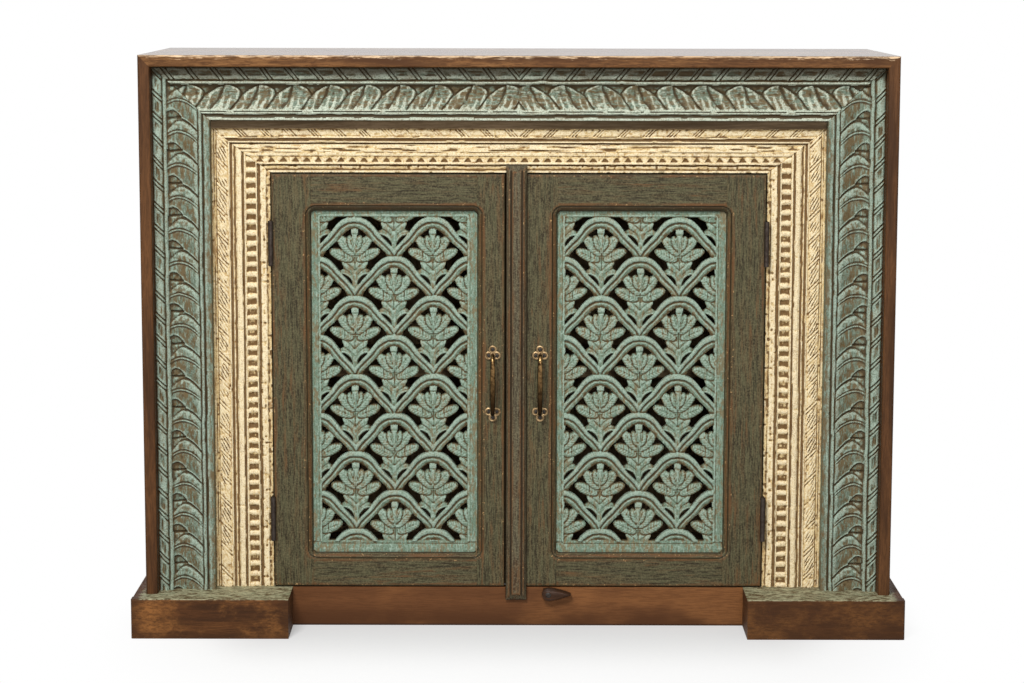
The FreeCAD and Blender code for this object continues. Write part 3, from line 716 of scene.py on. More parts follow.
@dataclass(frozen=True)
class OldMetal:
    """Cast metal in patches of a brown skin, with painted shade that turns it to the skin below given
    heights.
    """

    name: str
    metal: Colour
    skin: Colour
    metallic: float
    gloss: float
    # Heights in metres below which painted shade turns the metal to its skin.
    worn_from: Span = (-1.0, -0.9)

    def material(self) -> Finish:
        """Makes the material.

        Returns:
            It, finished.
        """
        nodes = Palette(self.name)
        cloud = nodes.noise(None, 150.0, 3.0, 0.55)
        rust = nodes.noise(None, 420.0, 3.0, 0.7)
        colour = nodes.coats(self.skin, (self.metal, cloud, 0.3, 0.62), (self.skin, rust, 0.55, 0.68, 0.6))
        # Painted shade: the metal turns to its dark skin below the given heights.
        colour = nodes.glaze(self.skin, colour, nodes.axis("Z"), *self.worn_from)
        nodes.bump(nodes.noise(None, 900.0, 3.0, 0.6), 0.12, 0.0003)
        gloss = nodes.step(cloud, 0.35, 0.65, (self.gloss + 0.1, self.gloss))
        return nodes.done(colour, gloss, metal=self.metallic)


# Modelling steps


@contextmanager
def editing(select: bool = True, mode: str = "") -> Iterator[None]:
    """Edit mode on the active piece, and back.

    Args:
        select: whether all of it starts selected, rather than nothing.
        mode: what is picked: faces, edges or, where it is empty, what was picked before.

    Returns:
        Nothing, for the length of a with block.
    """
    bpy.ops.object.mode_set(mode="EDIT")
    if mode:
        bpy.ops.mesh.select_mode(type=mode)
    bpy.ops.mesh.select_all(action="SELECT" if select else "DESELECT")
    yield
    bpy.ops.object.mode_set(mode="OBJECT")


def extrude(offset: Sequence[float], edges: bool = False) -> None:
    """Draws the selected faces, or edges, out by an offset in millimetres."""
    tool = bpy.ops.mesh.extrude_edges_move if edges else bpy.ops.mesh.extrude_region_move
    tool(TRANSFORM_OT_translate={"value": metres(offset)})


def inset(thickness: float, depth: float) -> None:
    """Insets the selected faces, in millimetres."""
    bpy.ops.mesh.inset(thickness=thickness * MM, depth=depth * MM)


def close_shell(angle: float) -> None:
    """Turns all faces outwards and smooths the flat joints between them.

    Args:
        angle: the sharpest joint that is smoothed, in degrees.
    """
    with editing():
        bpy.ops.mesh.normals_make_consistent(inside=False)
    bpy.ops.object.shade_smooth_by_angle(angle=math.radians(angle))


def select_faces(piece: Piece, flags: Sequence[bool]) -> None:
    """Selects just the flagged faces of a piece and leaves it in edit mode.

    Args:
        piece: the active piece.
        flags: one for each face.
    """
    with editing(select=False, mode="FACE"):
        pass
    piece.data.polygons.foreach_set("select", flags)
    bpy.ops.object.mode_set(mode="EDIT")


def ring(count: int, radius: float, place: Sequence[float], fill: str = "NGON") -> Piece:
    """A round face, or a bare ring, that looks to the front.

    Args:
        count: how many points it has.
        radius: in millimetres.
        place: its centre, in millimetres.
        fill: how its inside is closed.

    Returns:
        The new piece, with its place in its mesh.
    """
    bpy.ops.object.select_all(action="DESELECT")
    bpy.ops.mesh.primitive_circle_add(
        vertices=count, radius=radius * MM, fill_type=fill, location=metres(place), rotation=TO_FRONT
    )
    bpy.ops.object.transform_apply(location=True, rotation=True, scale=True)
    return bpy.context.object


def join_parts(parts: Sequence[Piece], name: str) -> Piece:
    """Joins small parts into one piece.

    Args:
        parts: what is joined.
        name: the piece's name.

    Returns:
        The piece, with its place in its mesh and smooth round faces.
    """
    bpy.ops.object.select_all(action="DESELECT")
    for part in parts:
        part.select_set(True)
    bpy.context.view_layer.objects.active = parts[0]
    bpy.ops.object.transform_apply(location=True, rotation=True, scale=True)
    if len(parts) > 1:
        bpy.ops.object.join()
    close_shell(40.0)
    piece = bpy.context.object
    piece.name = piece.data.name = name
    return piece


def finish_piece(piece: Piece, node: str, body: Body, finish: Finish | None) -> Piece:
    """Gives a new piece its material and its body, in place of a solid.

    Args:
        piece: the new piece.
        node: the solid that it stands for.
        body: what it moves with.
        finish: its material, or None where its parts wear theirs already.

    Returns:
        The same piece.
    """
    if finish is not None:
        piece.data.materials.clear()
        piece.data.materials.append(finish)
    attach(piece, body.value)
    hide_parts(node)
    LOG.info("%s: %d faces", piece.name, len(piece.data.polygons))
    return piece


# Carved boards


@dataclass
class CarvedBoard:
    """A grid of points over a board's front, pressed back by the carving and closed behind.

    Columns run to +X and rows up. Depths are millimetres behind the front plane, and outside
    is how far each point is from the wood, in millimetres.
    """

    name: str
    x: Field
    z: Field
    depth: Field
    front: float
    back: float
    outside: Field | None = None
    hollow_reach: float = 2.0
    spread: int = 4
    fine_reach: float = 1.1
    fine_spread: int = 2
    snap: float = 0.55
    smooth: float = 42.0

    def _kept_cells(self) -> Field:
        """Finds the cells that stand on wood.

        Returns:
            Their marks, with no two that meet only at a corner.
        """
        edge = self.outside
        kept = (edge[:-1, :-1] + edge[1:, :-1] + edge[:-1, 1:] + edge[1:, 1:]) < 0.0
        a, b, c, d = kept[:-1, :-1], kept[:-1, 1:], kept[1:, :-1], kept[1:, 1:]
        for _ in range(4):
            crossed = (a & d & ~b & ~c) | (b & c & ~a & ~d)
            for quad in (a, b, c, d):
                quad |= crossed
        return kept

    def _snap(self, kept: Field) -> None:
        """Moves the points on the rim of the wood onto the true outline.

        Args:
            kept: the cells that stand on wood.
        """
        near = np.zeros(self.x.shape, int)
        for rows in (slice(0, -1), slice(1, None)):
            for columns in (slice(0, -1), slice(1, None)):
                near[rows, columns] += kept
        rim = (near > 0) & (near < 4)
        across = self.x[0, 1] - self.x[0, 0]
        up = self.z[1, 0] - self.z[0, 0]
        slope_z, slope_x = np.gradient(self.outside, up, across)
        steep = np.maximum(slope_x**2 + slope_z**2, 0.2)
        shift_x, shift_z = (
            np.where(rim, np.clip(-self.outside * slope / steep, -self.snap * cell, self.snap * cell), 0.0)
            for slope, cell in ((slope_x, across), (slope_z, up))
        )
        shift_x[:, [0, -1]] = 0.0
        shift_z[[0, -1], :] = 0.0
        self.x = self.x + shift_x
        self.z = self.z + shift_z

    def _cut_openings(self, piece: Piece, kept: Field) -> None:
        """Takes away the faces that have no wood under them.

        Args:
            piece: the grid.
            kept: the cells that stand on wood.
        """
        columns = self.x.shape[1]
        corners = np.empty(len(piece.data.polygons) * 4, int)
        piece.data.polygons.foreach_get("vertices", corners)
        lowest = corners.reshape(-1, 4).min(axis=1)
        select_faces(piece, ~kept[lowest // columns, lowest % columns])
        bpy.ops.mesh.delete(type="FACE")
        bpy.ops.object.mode_set(mode="OBJECT")

    def _close(self) -> None:
        """Draws the rim back to the rear plane, closes it there and smooths the front."""
        with editing(select=False, mode="EDGE"):
            bpy.ops.mesh.select_non_manifold(
                extend=False, use_wire=False, use_boundary=True,
                use_multi_face=False, use_non_contiguous=False, use_verts=False,
            )
            extrude((0.0, 1.0, 0.0), edges=True)
            bpy.ops.transform.resize(value=(1.0, 0.0, 1.0), center_override=(0.0, self.back * MM, 0.0))
            if self.outside is None:
                bpy.ops.mesh.edge_face_add()
            else:
                bpy.ops.mesh.fill(use_beauty=False)
        close_shell(self.smooth)

    def build(self) -> Piece:
        """Models the board.

        Returns:
            The finished piece, with "hollow" and "ridge" at each point.
        """
        rows, columns = self.x.shape
        kept = None
        if self.outside is not None:
            kept = self._kept_cells()
            self._snap(kept)
        bpy.ops.object.select_all(action="DESELECT")
        bpy.ops.mesh.primitive_grid_add(x_subdivisions=columns - 1, y_subdivisions=rows - 1, size=1.0)
        piece = bpy.context.object
        mesh = piece.data
        piece.name = mesh.name = self.name
        flat = np.empty(len(mesh.vertices) * 3)
        mesh.vertices.foreach_get("co", flat)
        shares = flat.reshape(-1, 3) + 0.5
        column = np.rint(shares[:, 0] * (columns - 1)).astype(int)
        row = np.rint(shares[:, 1] * (rows - 1)).astype(int)
        places = np.stack((self.x, self.front + self.depth, self.z), axis=-1)[row, column]
        mesh.vertices.foreach_set("co", (places * MM).ravel())
        lowness = (self.depth - blurred(self.depth, self.spread)) / self.hollow_reach
        lowness = lowness + (self.depth - blurred(self.depth, self.fine_spread)) / self.fine_reach
        for name, field in (("hollow", lowness), ("ridge", -lowness)):
            layer = mesh.attributes.new(name, "FLOAT", "POINT")
            layer.data.foreach_set("value", unit(field)[row, column].astype(np.float32))
        if kept is not None:
            self._cut_openings(piece, kept)
        self._close()
        return piece


@dataclass
class CarvedFrame:
    """A frame of two carved jambs and a carved head, mitred at the top corners."""

    name: str = "outer_frame"
    edge: float = 563.0
    top: float = 882.0
    foot: float = 62.0
    jamb_width: float = 87.0
    head_width: float = 82.0
    front: float = -160.0
    back: float = -110.0
    step: float = 1.3
    slot: str = "teal_paint"

    def carve(self, x: Field, z: Field, across: Field, head: bool) -> Field:
        """The depth of the carving at each point.

        Args:
            x: place to the right.
            z: place upwards.
            across: how far in from the outer edge, on a jamb's scale.
            head: whether this is the head.

        Returns:
            The depth behind the frontmost line.
        """
        raise NotImplementedError

    def _jamb_points(self, hand: Hand) -> tuple[Field, Field]:
        """Lays out a jamb, whose top slopes with the mitre.

        Args:
            hand: which jamb.

        Returns:
            The places of its points to the right and upwards.
        """
        columns = int(round(self.jamb_width / self.step)) + 1
        rows = int(round((self.top - self.foot) / self.step)) + 1
        inner = self.edge - self.jamb_width
        low, high = (inner, self.edge) if hand is Hand.RIGHT else (-self.edge, -inner)
        share, x = np.meshgrid(np.linspace(0.0, 1.0, rows), np.linspace(low, high, columns), indexing="ij")
        mitre = self.top - (self.edge - np.abs(x)) * self.head_width / self.jamb_width
        return x, self.foot + share * (mitre - self.foot)

    def _head_points(self) -> tuple[Field, Field]:
        """Lays out the head, whose ends slope with the mitres.

        Returns:
            The places of its points to the right and upwards.
        """
        rows = int(round(self.head_width / self.step)) + 1
        columns = int(round(2 * self.edge / self.step)) + 1
        levels = np.linspace(self.top - self.head_width, self.top, rows)
        z, share = np.meshgrid(levels, np.linspace(-1.0, 1.0, columns), indexing="ij")
        return share * (self.edge - (self.top - z) * self.jamb_width / self.head_width), z

    def build(self, finishes: dict[Grain, Finish]) -> None:
        """Models and dresses the three members, each with its mitre eased.

        Args:
            finishes: the paint for each way that the wood runs.
        """
        members = [(f"{hand.word}_jamb", self._jamb_points(hand), Grain.UPRIGHT) for hand in Hand]
        members.append(("head", self._head_points(), Grain.ACROSS))
        for part, (x, z), way in members:
            head = way is Grain.ACROSS
            from_edge, from_top = self.edge - np.abs(x), self.top - z
            across = from_top * self.jamb_width / self.head_width if head else from_edge
            mitre = np.abs(from_edge / self.jamb_width - from_top / self.head_width) * self.head_width
            depth = self.carve(x, z, across, head) + 0.25 * ripple(x, z, 14.0, 11) + 0.5 * groove(mitre, 1.4)
            depth = np.clip(depth, 0.0, self.back - self.front - 3.0)
            node = f"{self.name}_{part}"
            board = CarvedBoard(f"carved_{node}", x, z, depth, self.front, self.back)
            finish_piece(board.build(), node, Body.CARCASS, finishes[way])


@dataclass
class LeafFrame(CarvedFrame):
    """The outer frame: a roped edge, then a hollow with leaves on the head and claws on the jambs."""

    rope_edge: float = 15.6
    bead: Span = (15.6, 22.0)
    band: Span = (22.0, 69.0)
    rope_pitch: Span = (34.5, 47.5)
    rope_slope: Span = (1.0, 1.25)
    rope_cuts: tuple[Span, Span] = ((3.0, 10.0), (3.0, 11.7))
    leaf_pitch: float = 54.5
    claw_pitch: float = 50.0
    head_lines: Line = (
        (0.0, 0.0), (21.6, 15.6), (24.0, 16.4), (27.8, 21.6), (29.0, 22.4), (72.6, 69.0), (74.0, 69.8),
        (77.2, 74.4), (78.2, 75.0), (83.4, 77.6), (87.0, 87.0),
    )

    def _leaves(self, x: Field, q: Field) -> tuple[Field, Field]:
        """The head's leaves, which lean to the middle and overlap like tiles.

        Args:
            x: place to the right.
            q: share of the band, from its upper edge down.

        Returns:
            Their height, from 0 to 1, and the dark cuts between and along them.
        """
        down = q * 45.0
        height = 0.3 + 0.08 * ripple(x, down, 6.0, 53)
        cuts = np.zeros(x.shape)
        wander = 0.05 * ripple(x, down, 60.0, 3) + 0.02 * ripple(x, down, 9.0, 4)
        share = np.mod(-np.abs(x) / self.leaf_pitch + 0.34 + wander, 1.0)
        upper, taper = q < 0.43, 0.57 * unit(q - 0.43)
        left = np.where(upper, -0.52 * unit((q - 0.04) / 0.39) ** 0.75, -0.52 - taper)
        rib = -0.4 * unit(q) ** 1.7
        right = np.where(upper, 0.48 * np.sqrt(unit(1.0 - ((0.43 - q) / 0.43) ** 2)), 0.48 - taper)
        for turn in (-1.0, 0.0, 1.0):
            p = share + turn
            left_lobe = 0.68 * roll(p, left - 0.04, np.maximum(rib, left + 0.01)) ** 0.6
            right_lobe = roll(p, rib - 0.04, np.maximum(right, rib + 0.01)) ** 0.6
            inside = (p > left) & (p < right) & (q > 0.02)
            lobe = np.maximum(left_lobe, right_lobe) + 0.07 * np.sin(34.0 * (p - 0.5 * rib)) * unit(q * 2.0)
            height = np.where(inside, np.maximum(height, lobe), height)
            near = inside | (p > left - 0.03) & (p < right)
            for line, width, strength in ((left, 0.026, 1.0), (rib, 0.02, 0.8)):
                cuts = np.where(near, np.maximum(cuts, strength * groove(p - line, width)), cuts)
            rim = np.minimum(np.abs(p - left), np.abs(p - right))
            cuts = np.where(~inside & (q > 0.02) & upper, np.maximum(cuts, 0.8 * groove(rim, 0.05)), cuts)
        merge = ramp(q, 1.0, 0.86)
        return height * merge + 0.75 * (1.0 - merge), cuts * ramp(q, 0.97, 0.9) * ramp(q, 0.0, 0.06)

    def _claws(self, x: Field, z: Field, q: Field) -> tuple[Field, Field]:
        """The jambs' claws: a lobe, a dark hollow and a crescent in each pitch.

        Args:
            x: place to the right.
            z: place upwards.
            q: share of the band, from its outer edge in.

        Returns:
            Their height and the cuts between them, both in millimetres.
        """
        level = self.top - z + 2.0 * ripple(x, z, (50.0, 60.0), 7) + 0.6 * ripple(x, z, 12.0, 8)
        first = 16.5 * unit((q - 0.3) / 0.7) ** 2.1 + 4.5 * unit((0.3 - q) / 0.3) ** 1.7
        down = np.mod(level - first, self.claw_pitch)
        level = np.mod(level, self.claw_pitch)
        crest = 34.0 + 8.0 * unit((0.42 - q) / 0.36) ** 1.6 + 4.0 * unit((q - 0.42) / 0.58)
        second = crest - 3.8
        right = ramp(q, 0.42, 0.5)
        lobe = 2.2 + 1.5 * roll(down, 0.0, 31.0) - 1.0 * ramp(down, 12.0, 28.0) * right
        crescent = 1.4 + 2.6 * roll(down, crest, np.maximum(self.claw_pitch + 3.0, crest + 1.0)) ** 0.8
        hollow_top = 15.0 + 13.0 * unit((q - 0.08) / 0.36) ** 1.5
        in_hollow = (q < 0.46) & (down > hollow_top)
        scoop = 0.1 + 1.3 * roll(level, 15.0, 29.0)
        curl = 1.0 + 1.6 * roll(level, 31.0, 50.0) * roll(q, 0.0, 0.3)
        height = np.where(in_hollow, np.where(level < 30.0, scoop, curl), lobe)
        height = np.where(down > crest, crescent, height)
        height = height + 1.3 * groove(down - 1.4, 1.5) * ramp(q, 1.0, 0.9)
        height = height + 1.2 * groove(down - second + 1.2, 1.5) * right
        lines = (
            (1.0, down - 4.0, 1.2, ramp(q, 0.0, 0.1)),
            (1.4, down - self.claw_pitch + 1.0, 1.2, 1.0),
            (2.0, down - second - 2.0, 1.7, right),
            (1.4, down - hollow_top, 1.4, (q < 0.46) * (down < crest + 1.0)),
            (2.0, level - 29.8, 1.7, ramp(q, 0.48, 0.4) * (down > hollow_top)),
            (1.4, down - crest, 1.3, (q < 0.5) * (q > 0.08)),
        )
        cuts = np.maximum.reduce([depth * groove(gap, width) * where for depth, gap, width, where in lines])
        pits = 0.5 * np.clip(ripple(x, z, 4.2, 13), -0.6, 1.0) * (in_hollow | (down > crest))
        return height - pits - 1.6 * ramp(q, 0.94, 1.0), cuts * ramp(q, 1.0, 0.96)

    def _rope(self, x: Field, z: Field, across: Field, head: bool) -> Field:
        """The roped edge: slanting ribs with a sunk slot between each two.

        Args:
            x: place to the right.
            z: place upwards.
            across: how far in from the outer edge, on a jamb's scale.
            head: whether this is the head.

        Returns:
            Its depth.
        """
        middle = self.rope_edge / 2
        depth = 1.2 + 4.6 * ((across - middle) / middle) ** 2
        pitch, slope = self.rope_pitch[head], self.rope_slope[head]
        phase = np.mod(z - slope * np.abs(x) + 1.2 * ripple(x, z, (20.0, 30.0), 54), pitch)
        for place in self.rope_cuts[head]:
            depth = depth + 3.0 * unit(1.0 - np.abs(phase - place) / 2.3) * ramp(across, 0.5, 2.5)
            depth = depth - 0.7 * groove(phase - place - 3.0, 1.2)
        slot = groove(phase - (pitch + 13.0) / 2, (pitch - 16.0) / 2) ** 0.3
        slot = slot * ramp(across, 3.4, 5.2) * ramp(across, 11.6, 9.8)
        return depth + 2.8 * slot * unit(0.75 + ripple(x, z, (16.0, 20.0), 55))

    def carve(self, x: Field, z: Field, across: Field, head: bool) -> Field:
        """The depth of the carving at each point.

        Args:
            x: place to the right.
            z: place upwards.
            across: how far in from the outer edge, on a jamb's scale.
            head: whether this is the head.

        Returns:
            The depth behind the frontmost line.
        """
        if head:
            across = np.interp(across, *zip(*self.head_lines))
        wavy = 0.7 * ripple(x, z, 24.0, 51) + 0.3 * ripple(x, z, 8.0, 52)
        across = across + wavy * ramp(across, 8.0, 20.0) * ramp(across, 86.0, 78.0)
        beaded = 7.8 - 3.4 * roll(across, *self.bead) ** 1.5
        depth = np.where(across > self.rope_edge, beaded, self._rope(x, z, across, head))
        depth = depth + 0.7 * groove(across - self.rope_edge, 1.2)
        q = unit((across - self.band[0]) / (self.band[1] - self.band[0]))
        cove = 11.2 + 6.0 * np.sin(math.pi * np.clip(q / 0.75, 0.0, 0.5))
        cove = np.where(q > 0.375, 17.2 - 8.4 * (np.maximum(q - 0.375, 0.0) / 0.625) ** 1.5, cove)
        if head:
            height, cuts = self._leaves(x, q)
            carved = cove + 1.2 - 4.4 * height + 2.0 * cuts
        else:
            height, cuts = self._claws(x, z, q)
            carved = cove + 0.4 - height + cuts + 1.6 * groove(q - 1.0, 0.03)
        tooled = 0.22 * ripple(x, z, 4.4, 56) + 0.2 * ripple(x, z, (2.6, 7.0), 57)
        depth = np.where(across > self.band[0], carved + tooled, depth)
        plain = 8.4 - 1.5 * roll(across, 69.4, 74.4) + 3.2 * groove(across - 76.2, 1.8) ** 0.6
        plain = np.where(across > 77.4, 9.4 - 0.9 * roll(across, 77.4, 90.0), plain)
        plain = plain + 1.6 * groove(across - 69.2, 1.0) + 0.3 * tooled
        return np.where(across > self.band[1], plain, depth)


@dataclass
class BeadFrame(CarvedFrame):
    """The inner frame: a roped band between fillets, then a row of square beads and a lip."""

    name: str = "inner_frame"
    edge: float = 476.0
    top: float = 786.0
    jamb_width: float = 90.0
    head_width: float = 68.0
    front: float = -130.0
    back: float = -78.0
    step: float = 1.2
    slot: str = "cream_paint"
    jamb_rope: Span = (7.7, 25.5)
    head_rope: Span = (1.3, 17.2)
    jamb_beads: Span = (52.4, 68.4)
    head_beads: Span = (56.4, 69.6)
    rope_pitch: float = 38.0
    jamb_pitch: float = 16.4
    head_pitch: float = 17.8
    strokes: Line = (
        (12.5, 12.0), (15.5, 18.0), (20.0, 13.0), (23.5, 20.0), (27.0, 14.5), (31.0, 19.5), (34.5, 13.0),
    )
    jamb_lines: Line = (
        (0.0, 3.4), (2.8, 3.2), (3.4, 4.8), (4.2, 3.2), (6.6, 3.2), (7.4, 4.6), (8.0, 3.5),
        (25.4, 3.5), (26.2, 1.6), (27.6, 1.6), (28.3, 5.6), (31.4, 6.6), (32.2, 4.4), (33.2, 4.4),
        (34.0, 5.6), (36.6, 5.8), (37.8, 2.6), (39.2, 2.6), (39.8, 1.2), (46.4, 0.8), (47.2, 5.0),
        (49.4, 5.0), (50.2, 2.0), (51.6, 2.0), (52.4, 3.6), (68.2, 3.6), (68.8, 1.6), (70.2, 1.8),
        (71.0, 7.0), (74.0, 7.0), (75.2, 4.2), (83.4, 4.4), (84.4, 6.2), (90.0, 6.0),
    )
    head_lines: Line = (
        (0.0, 2.6), (0.9, 2.6), (1.3, 3.6), (17.2, 3.6), (17.8, 1.2), (19.8, 1.2), (20.8, 5.4),
        (25.4, 5.8), (26.4, 0.8), (28.8, 0.4), (29.6, 7.6), (32.2, 7.6), (33.0, 1.4), (47.6, 0.8),
        (48.2, 2.4), (49.0, 2.4), (49.6, 1.4), (55.6, 2.0), (56.6, 3.4), (69.2, 3.4), (70.2, 1.2),
        (73.6, 1.6), (74.6, 8.0), (76.8, 8.0), (77.6, 5.4), (86.0, 7.2), (87.0, 4.0), (90.0, 4.0),
    )

    def _marks(self, x: Field, z: Field, across: Field) -> Field:
        """Punched strokes on a jamb's roped band, some deep and some almost lost.

        Args:
            x: place to the right.
            z: place upwards.
            across: how far in from the outer edge.

        Returns:
            How deep they are, from 0 to 1.
        """
        phase = np.mod(z - np.abs(x), self.rope_pitch)
        cuts = [
            groove(phase - place, 4.0) * groove(across - level + 0.9 * (phase - place), 1.9)
            for place, level in self.strokes
        ]
        return np.maximum.reduce(cuts) * unit(0.75 + 1.1 * ripple(x, z, (17.0, 13.0), 17))

    def _slanted(self, x: Field, z: Field, places: Sequence[float], width: float) -> Field:
        """V cuts that slant over the rope, mirrored about the middle of the front.

        Args:
            x: place to the right.
            z: place upwards.
            places: where they are in each pitch.
            width: how wide each is to its side.

        Returns:
            How deep they are, from 0 to 1.
        """
        phase = np.mod(z - np.abs(x), self.rope_pitch)
        gaps = [np.abs(phase - place) for place in places]
        gap = np.minimum.reduce([np.minimum(gap, self.rope_pitch - gap) for gap in gaps])
        return unit(1.0 - gap / width)

    def _bead_row(self, x: Field, z: Field, across: Field, head: bool) -> Field:
        """The row of beads: rounded bars with scooped squares between, drops on the head.

        Args:
            x: place to the right.
            z: place upwards.
            across: how far in from the outer edge, on a jamb's scale.
            head: whether this is the head.

        Returns:
            What the row adds to the depth.
        """
        low, high = self.head_beads if head else self.jamb_beads
        pitch = self.head_pitch if head else self.jamb_pitch
        along = np.abs(x) if head else z
        wander = 1.4 * ripple(x, z, 45.0, 5) + 0.5 * ripple(x, z, 9.0, 6)
        turned = np.mod(along + wander, pitch) - pitch / 2
        phase = np.abs(turned)
        zone = ramp(across, low - 0.2, low + 1.2) * ramp(across, high, high - 1.2)
        uneven = 0.75 + 0.35 * ripple(x, z, 26.0, 24)
        if head:
            drop = 1.6 + 4.6 * unit((across - low - 1.0) / (high - low - 2.5))
            recess = ramp(phase, drop, drop - 2.2) * zone * ramp(across, low + 0.5, high - 3.0)
            return 4.2 * recess * uneven - 0.5 * zone * roll(phase, pitch / 2 - 4.0, pitch / 2 + 4.0)
        waist = 5.3 - 0.9 * roll(across, low, high)
        recess = ramp(phase, waist, waist - 1.6) * ramp(across, low + 0.2, low + 1.6)
        recess = recess * ramp(across, high, high - 1.4)
        tilt = 2.6 - 1.3 * np.clip(turned / waist, -1.0, 1.0)
        return recess * tilt * uneven - 1.7 * zone * roll(phase, pitch / 2 - 3.4, pitch / 2 + 3.4)

    def carve(self, x: Field, z: Field, across: Field, head: bool) -> Field:
        """The depth of the carving at each point.

        Args:
            x: place to the right.
            z: place upwards.
            across: how far in from the outer edge, on a jamb's scale.
            head: whether this is the head.

        Returns:
            The depth behind the frontmost line.
        """
        places, levels = zip(*(self.head_lines if head else self.jamb_lines))
        rope = self.head_rope if head else self.jamb_rope
        shifted = across + 0.6 * ripple(x, z, 60.0, 19) + 0.35 * ripple(x, z, 9.0, 20)
        depth = np.interp(np.where((across > 3.0) & (across < 87.0), shifted, across), places, levels)
        depth = depth - (2.2 if head else 2.6) * roll(across, *rope)
        ropes = self._slanted(x, z, (2.0, 7.0, 12.0) if head else (2.0, 8.4), 2.1)
        ropes = ropes * np.clip(0.8 + 0.8 * ripple(x, z, 12.0, 16), 0.25, 1.0)
        on_rope = ramp(across, rope[0], rope[0] + 1.0) * ramp(across, rope[1], rope[1] - 1.0)
        lines = np.maximum(groove(across - rope[0] - 2.6, 0.9), groove(across - rope[1] + 2.6, 0.9))
        lines = lines * unit(0.4 + ripple(x, z, 31.0, 18))
        marks = 0.0 if head else 2.8 * self._marks(x, z, across)
        depth = depth + on_rope * (2.3 * ropes + 0.9 * lines + marks)
        worn = 1.8 * unit(ripple(x, z, 5.0, 23) - 0.35) * (1.0 + ramp(across, 68.0, 74.0))
        if head:
            dashes = unit(ripple(x, z, (22.0, 2.8), 26) + 0.1)
            worn = worn + 3.6 * dashes * ramp(across, 32.0, 34.0) * ramp(across, 49.0, 46.0)
        else:
            worn = worn + 1.2 * unit(ripple(x, z, (2.6, 11.0), 26) - 0.4) * ramp(across, 26.0, 30.0)
        return depth + self._bead_row(x, z, across, head) + worn + 0.15 * ripple(x, z, 3.2, 25)


# Doors


@dataclass(frozen=True)
class DoorSizes:
    """What differs from door to door, in millimetres from the middle of the front."""

    inner: float
    sight_inner: float
    panel_centre: float
    panel_half_width: float
    handle: float


DOOR_SIZES = {
    Hand.LEFT: DoorSizes(21.5, 64.5, 194.6, 114.1, -40.0),
    Hand.RIGHT: DoorSizes(-19.5, 60.5, 190.0, 117.0, 34.0),
}


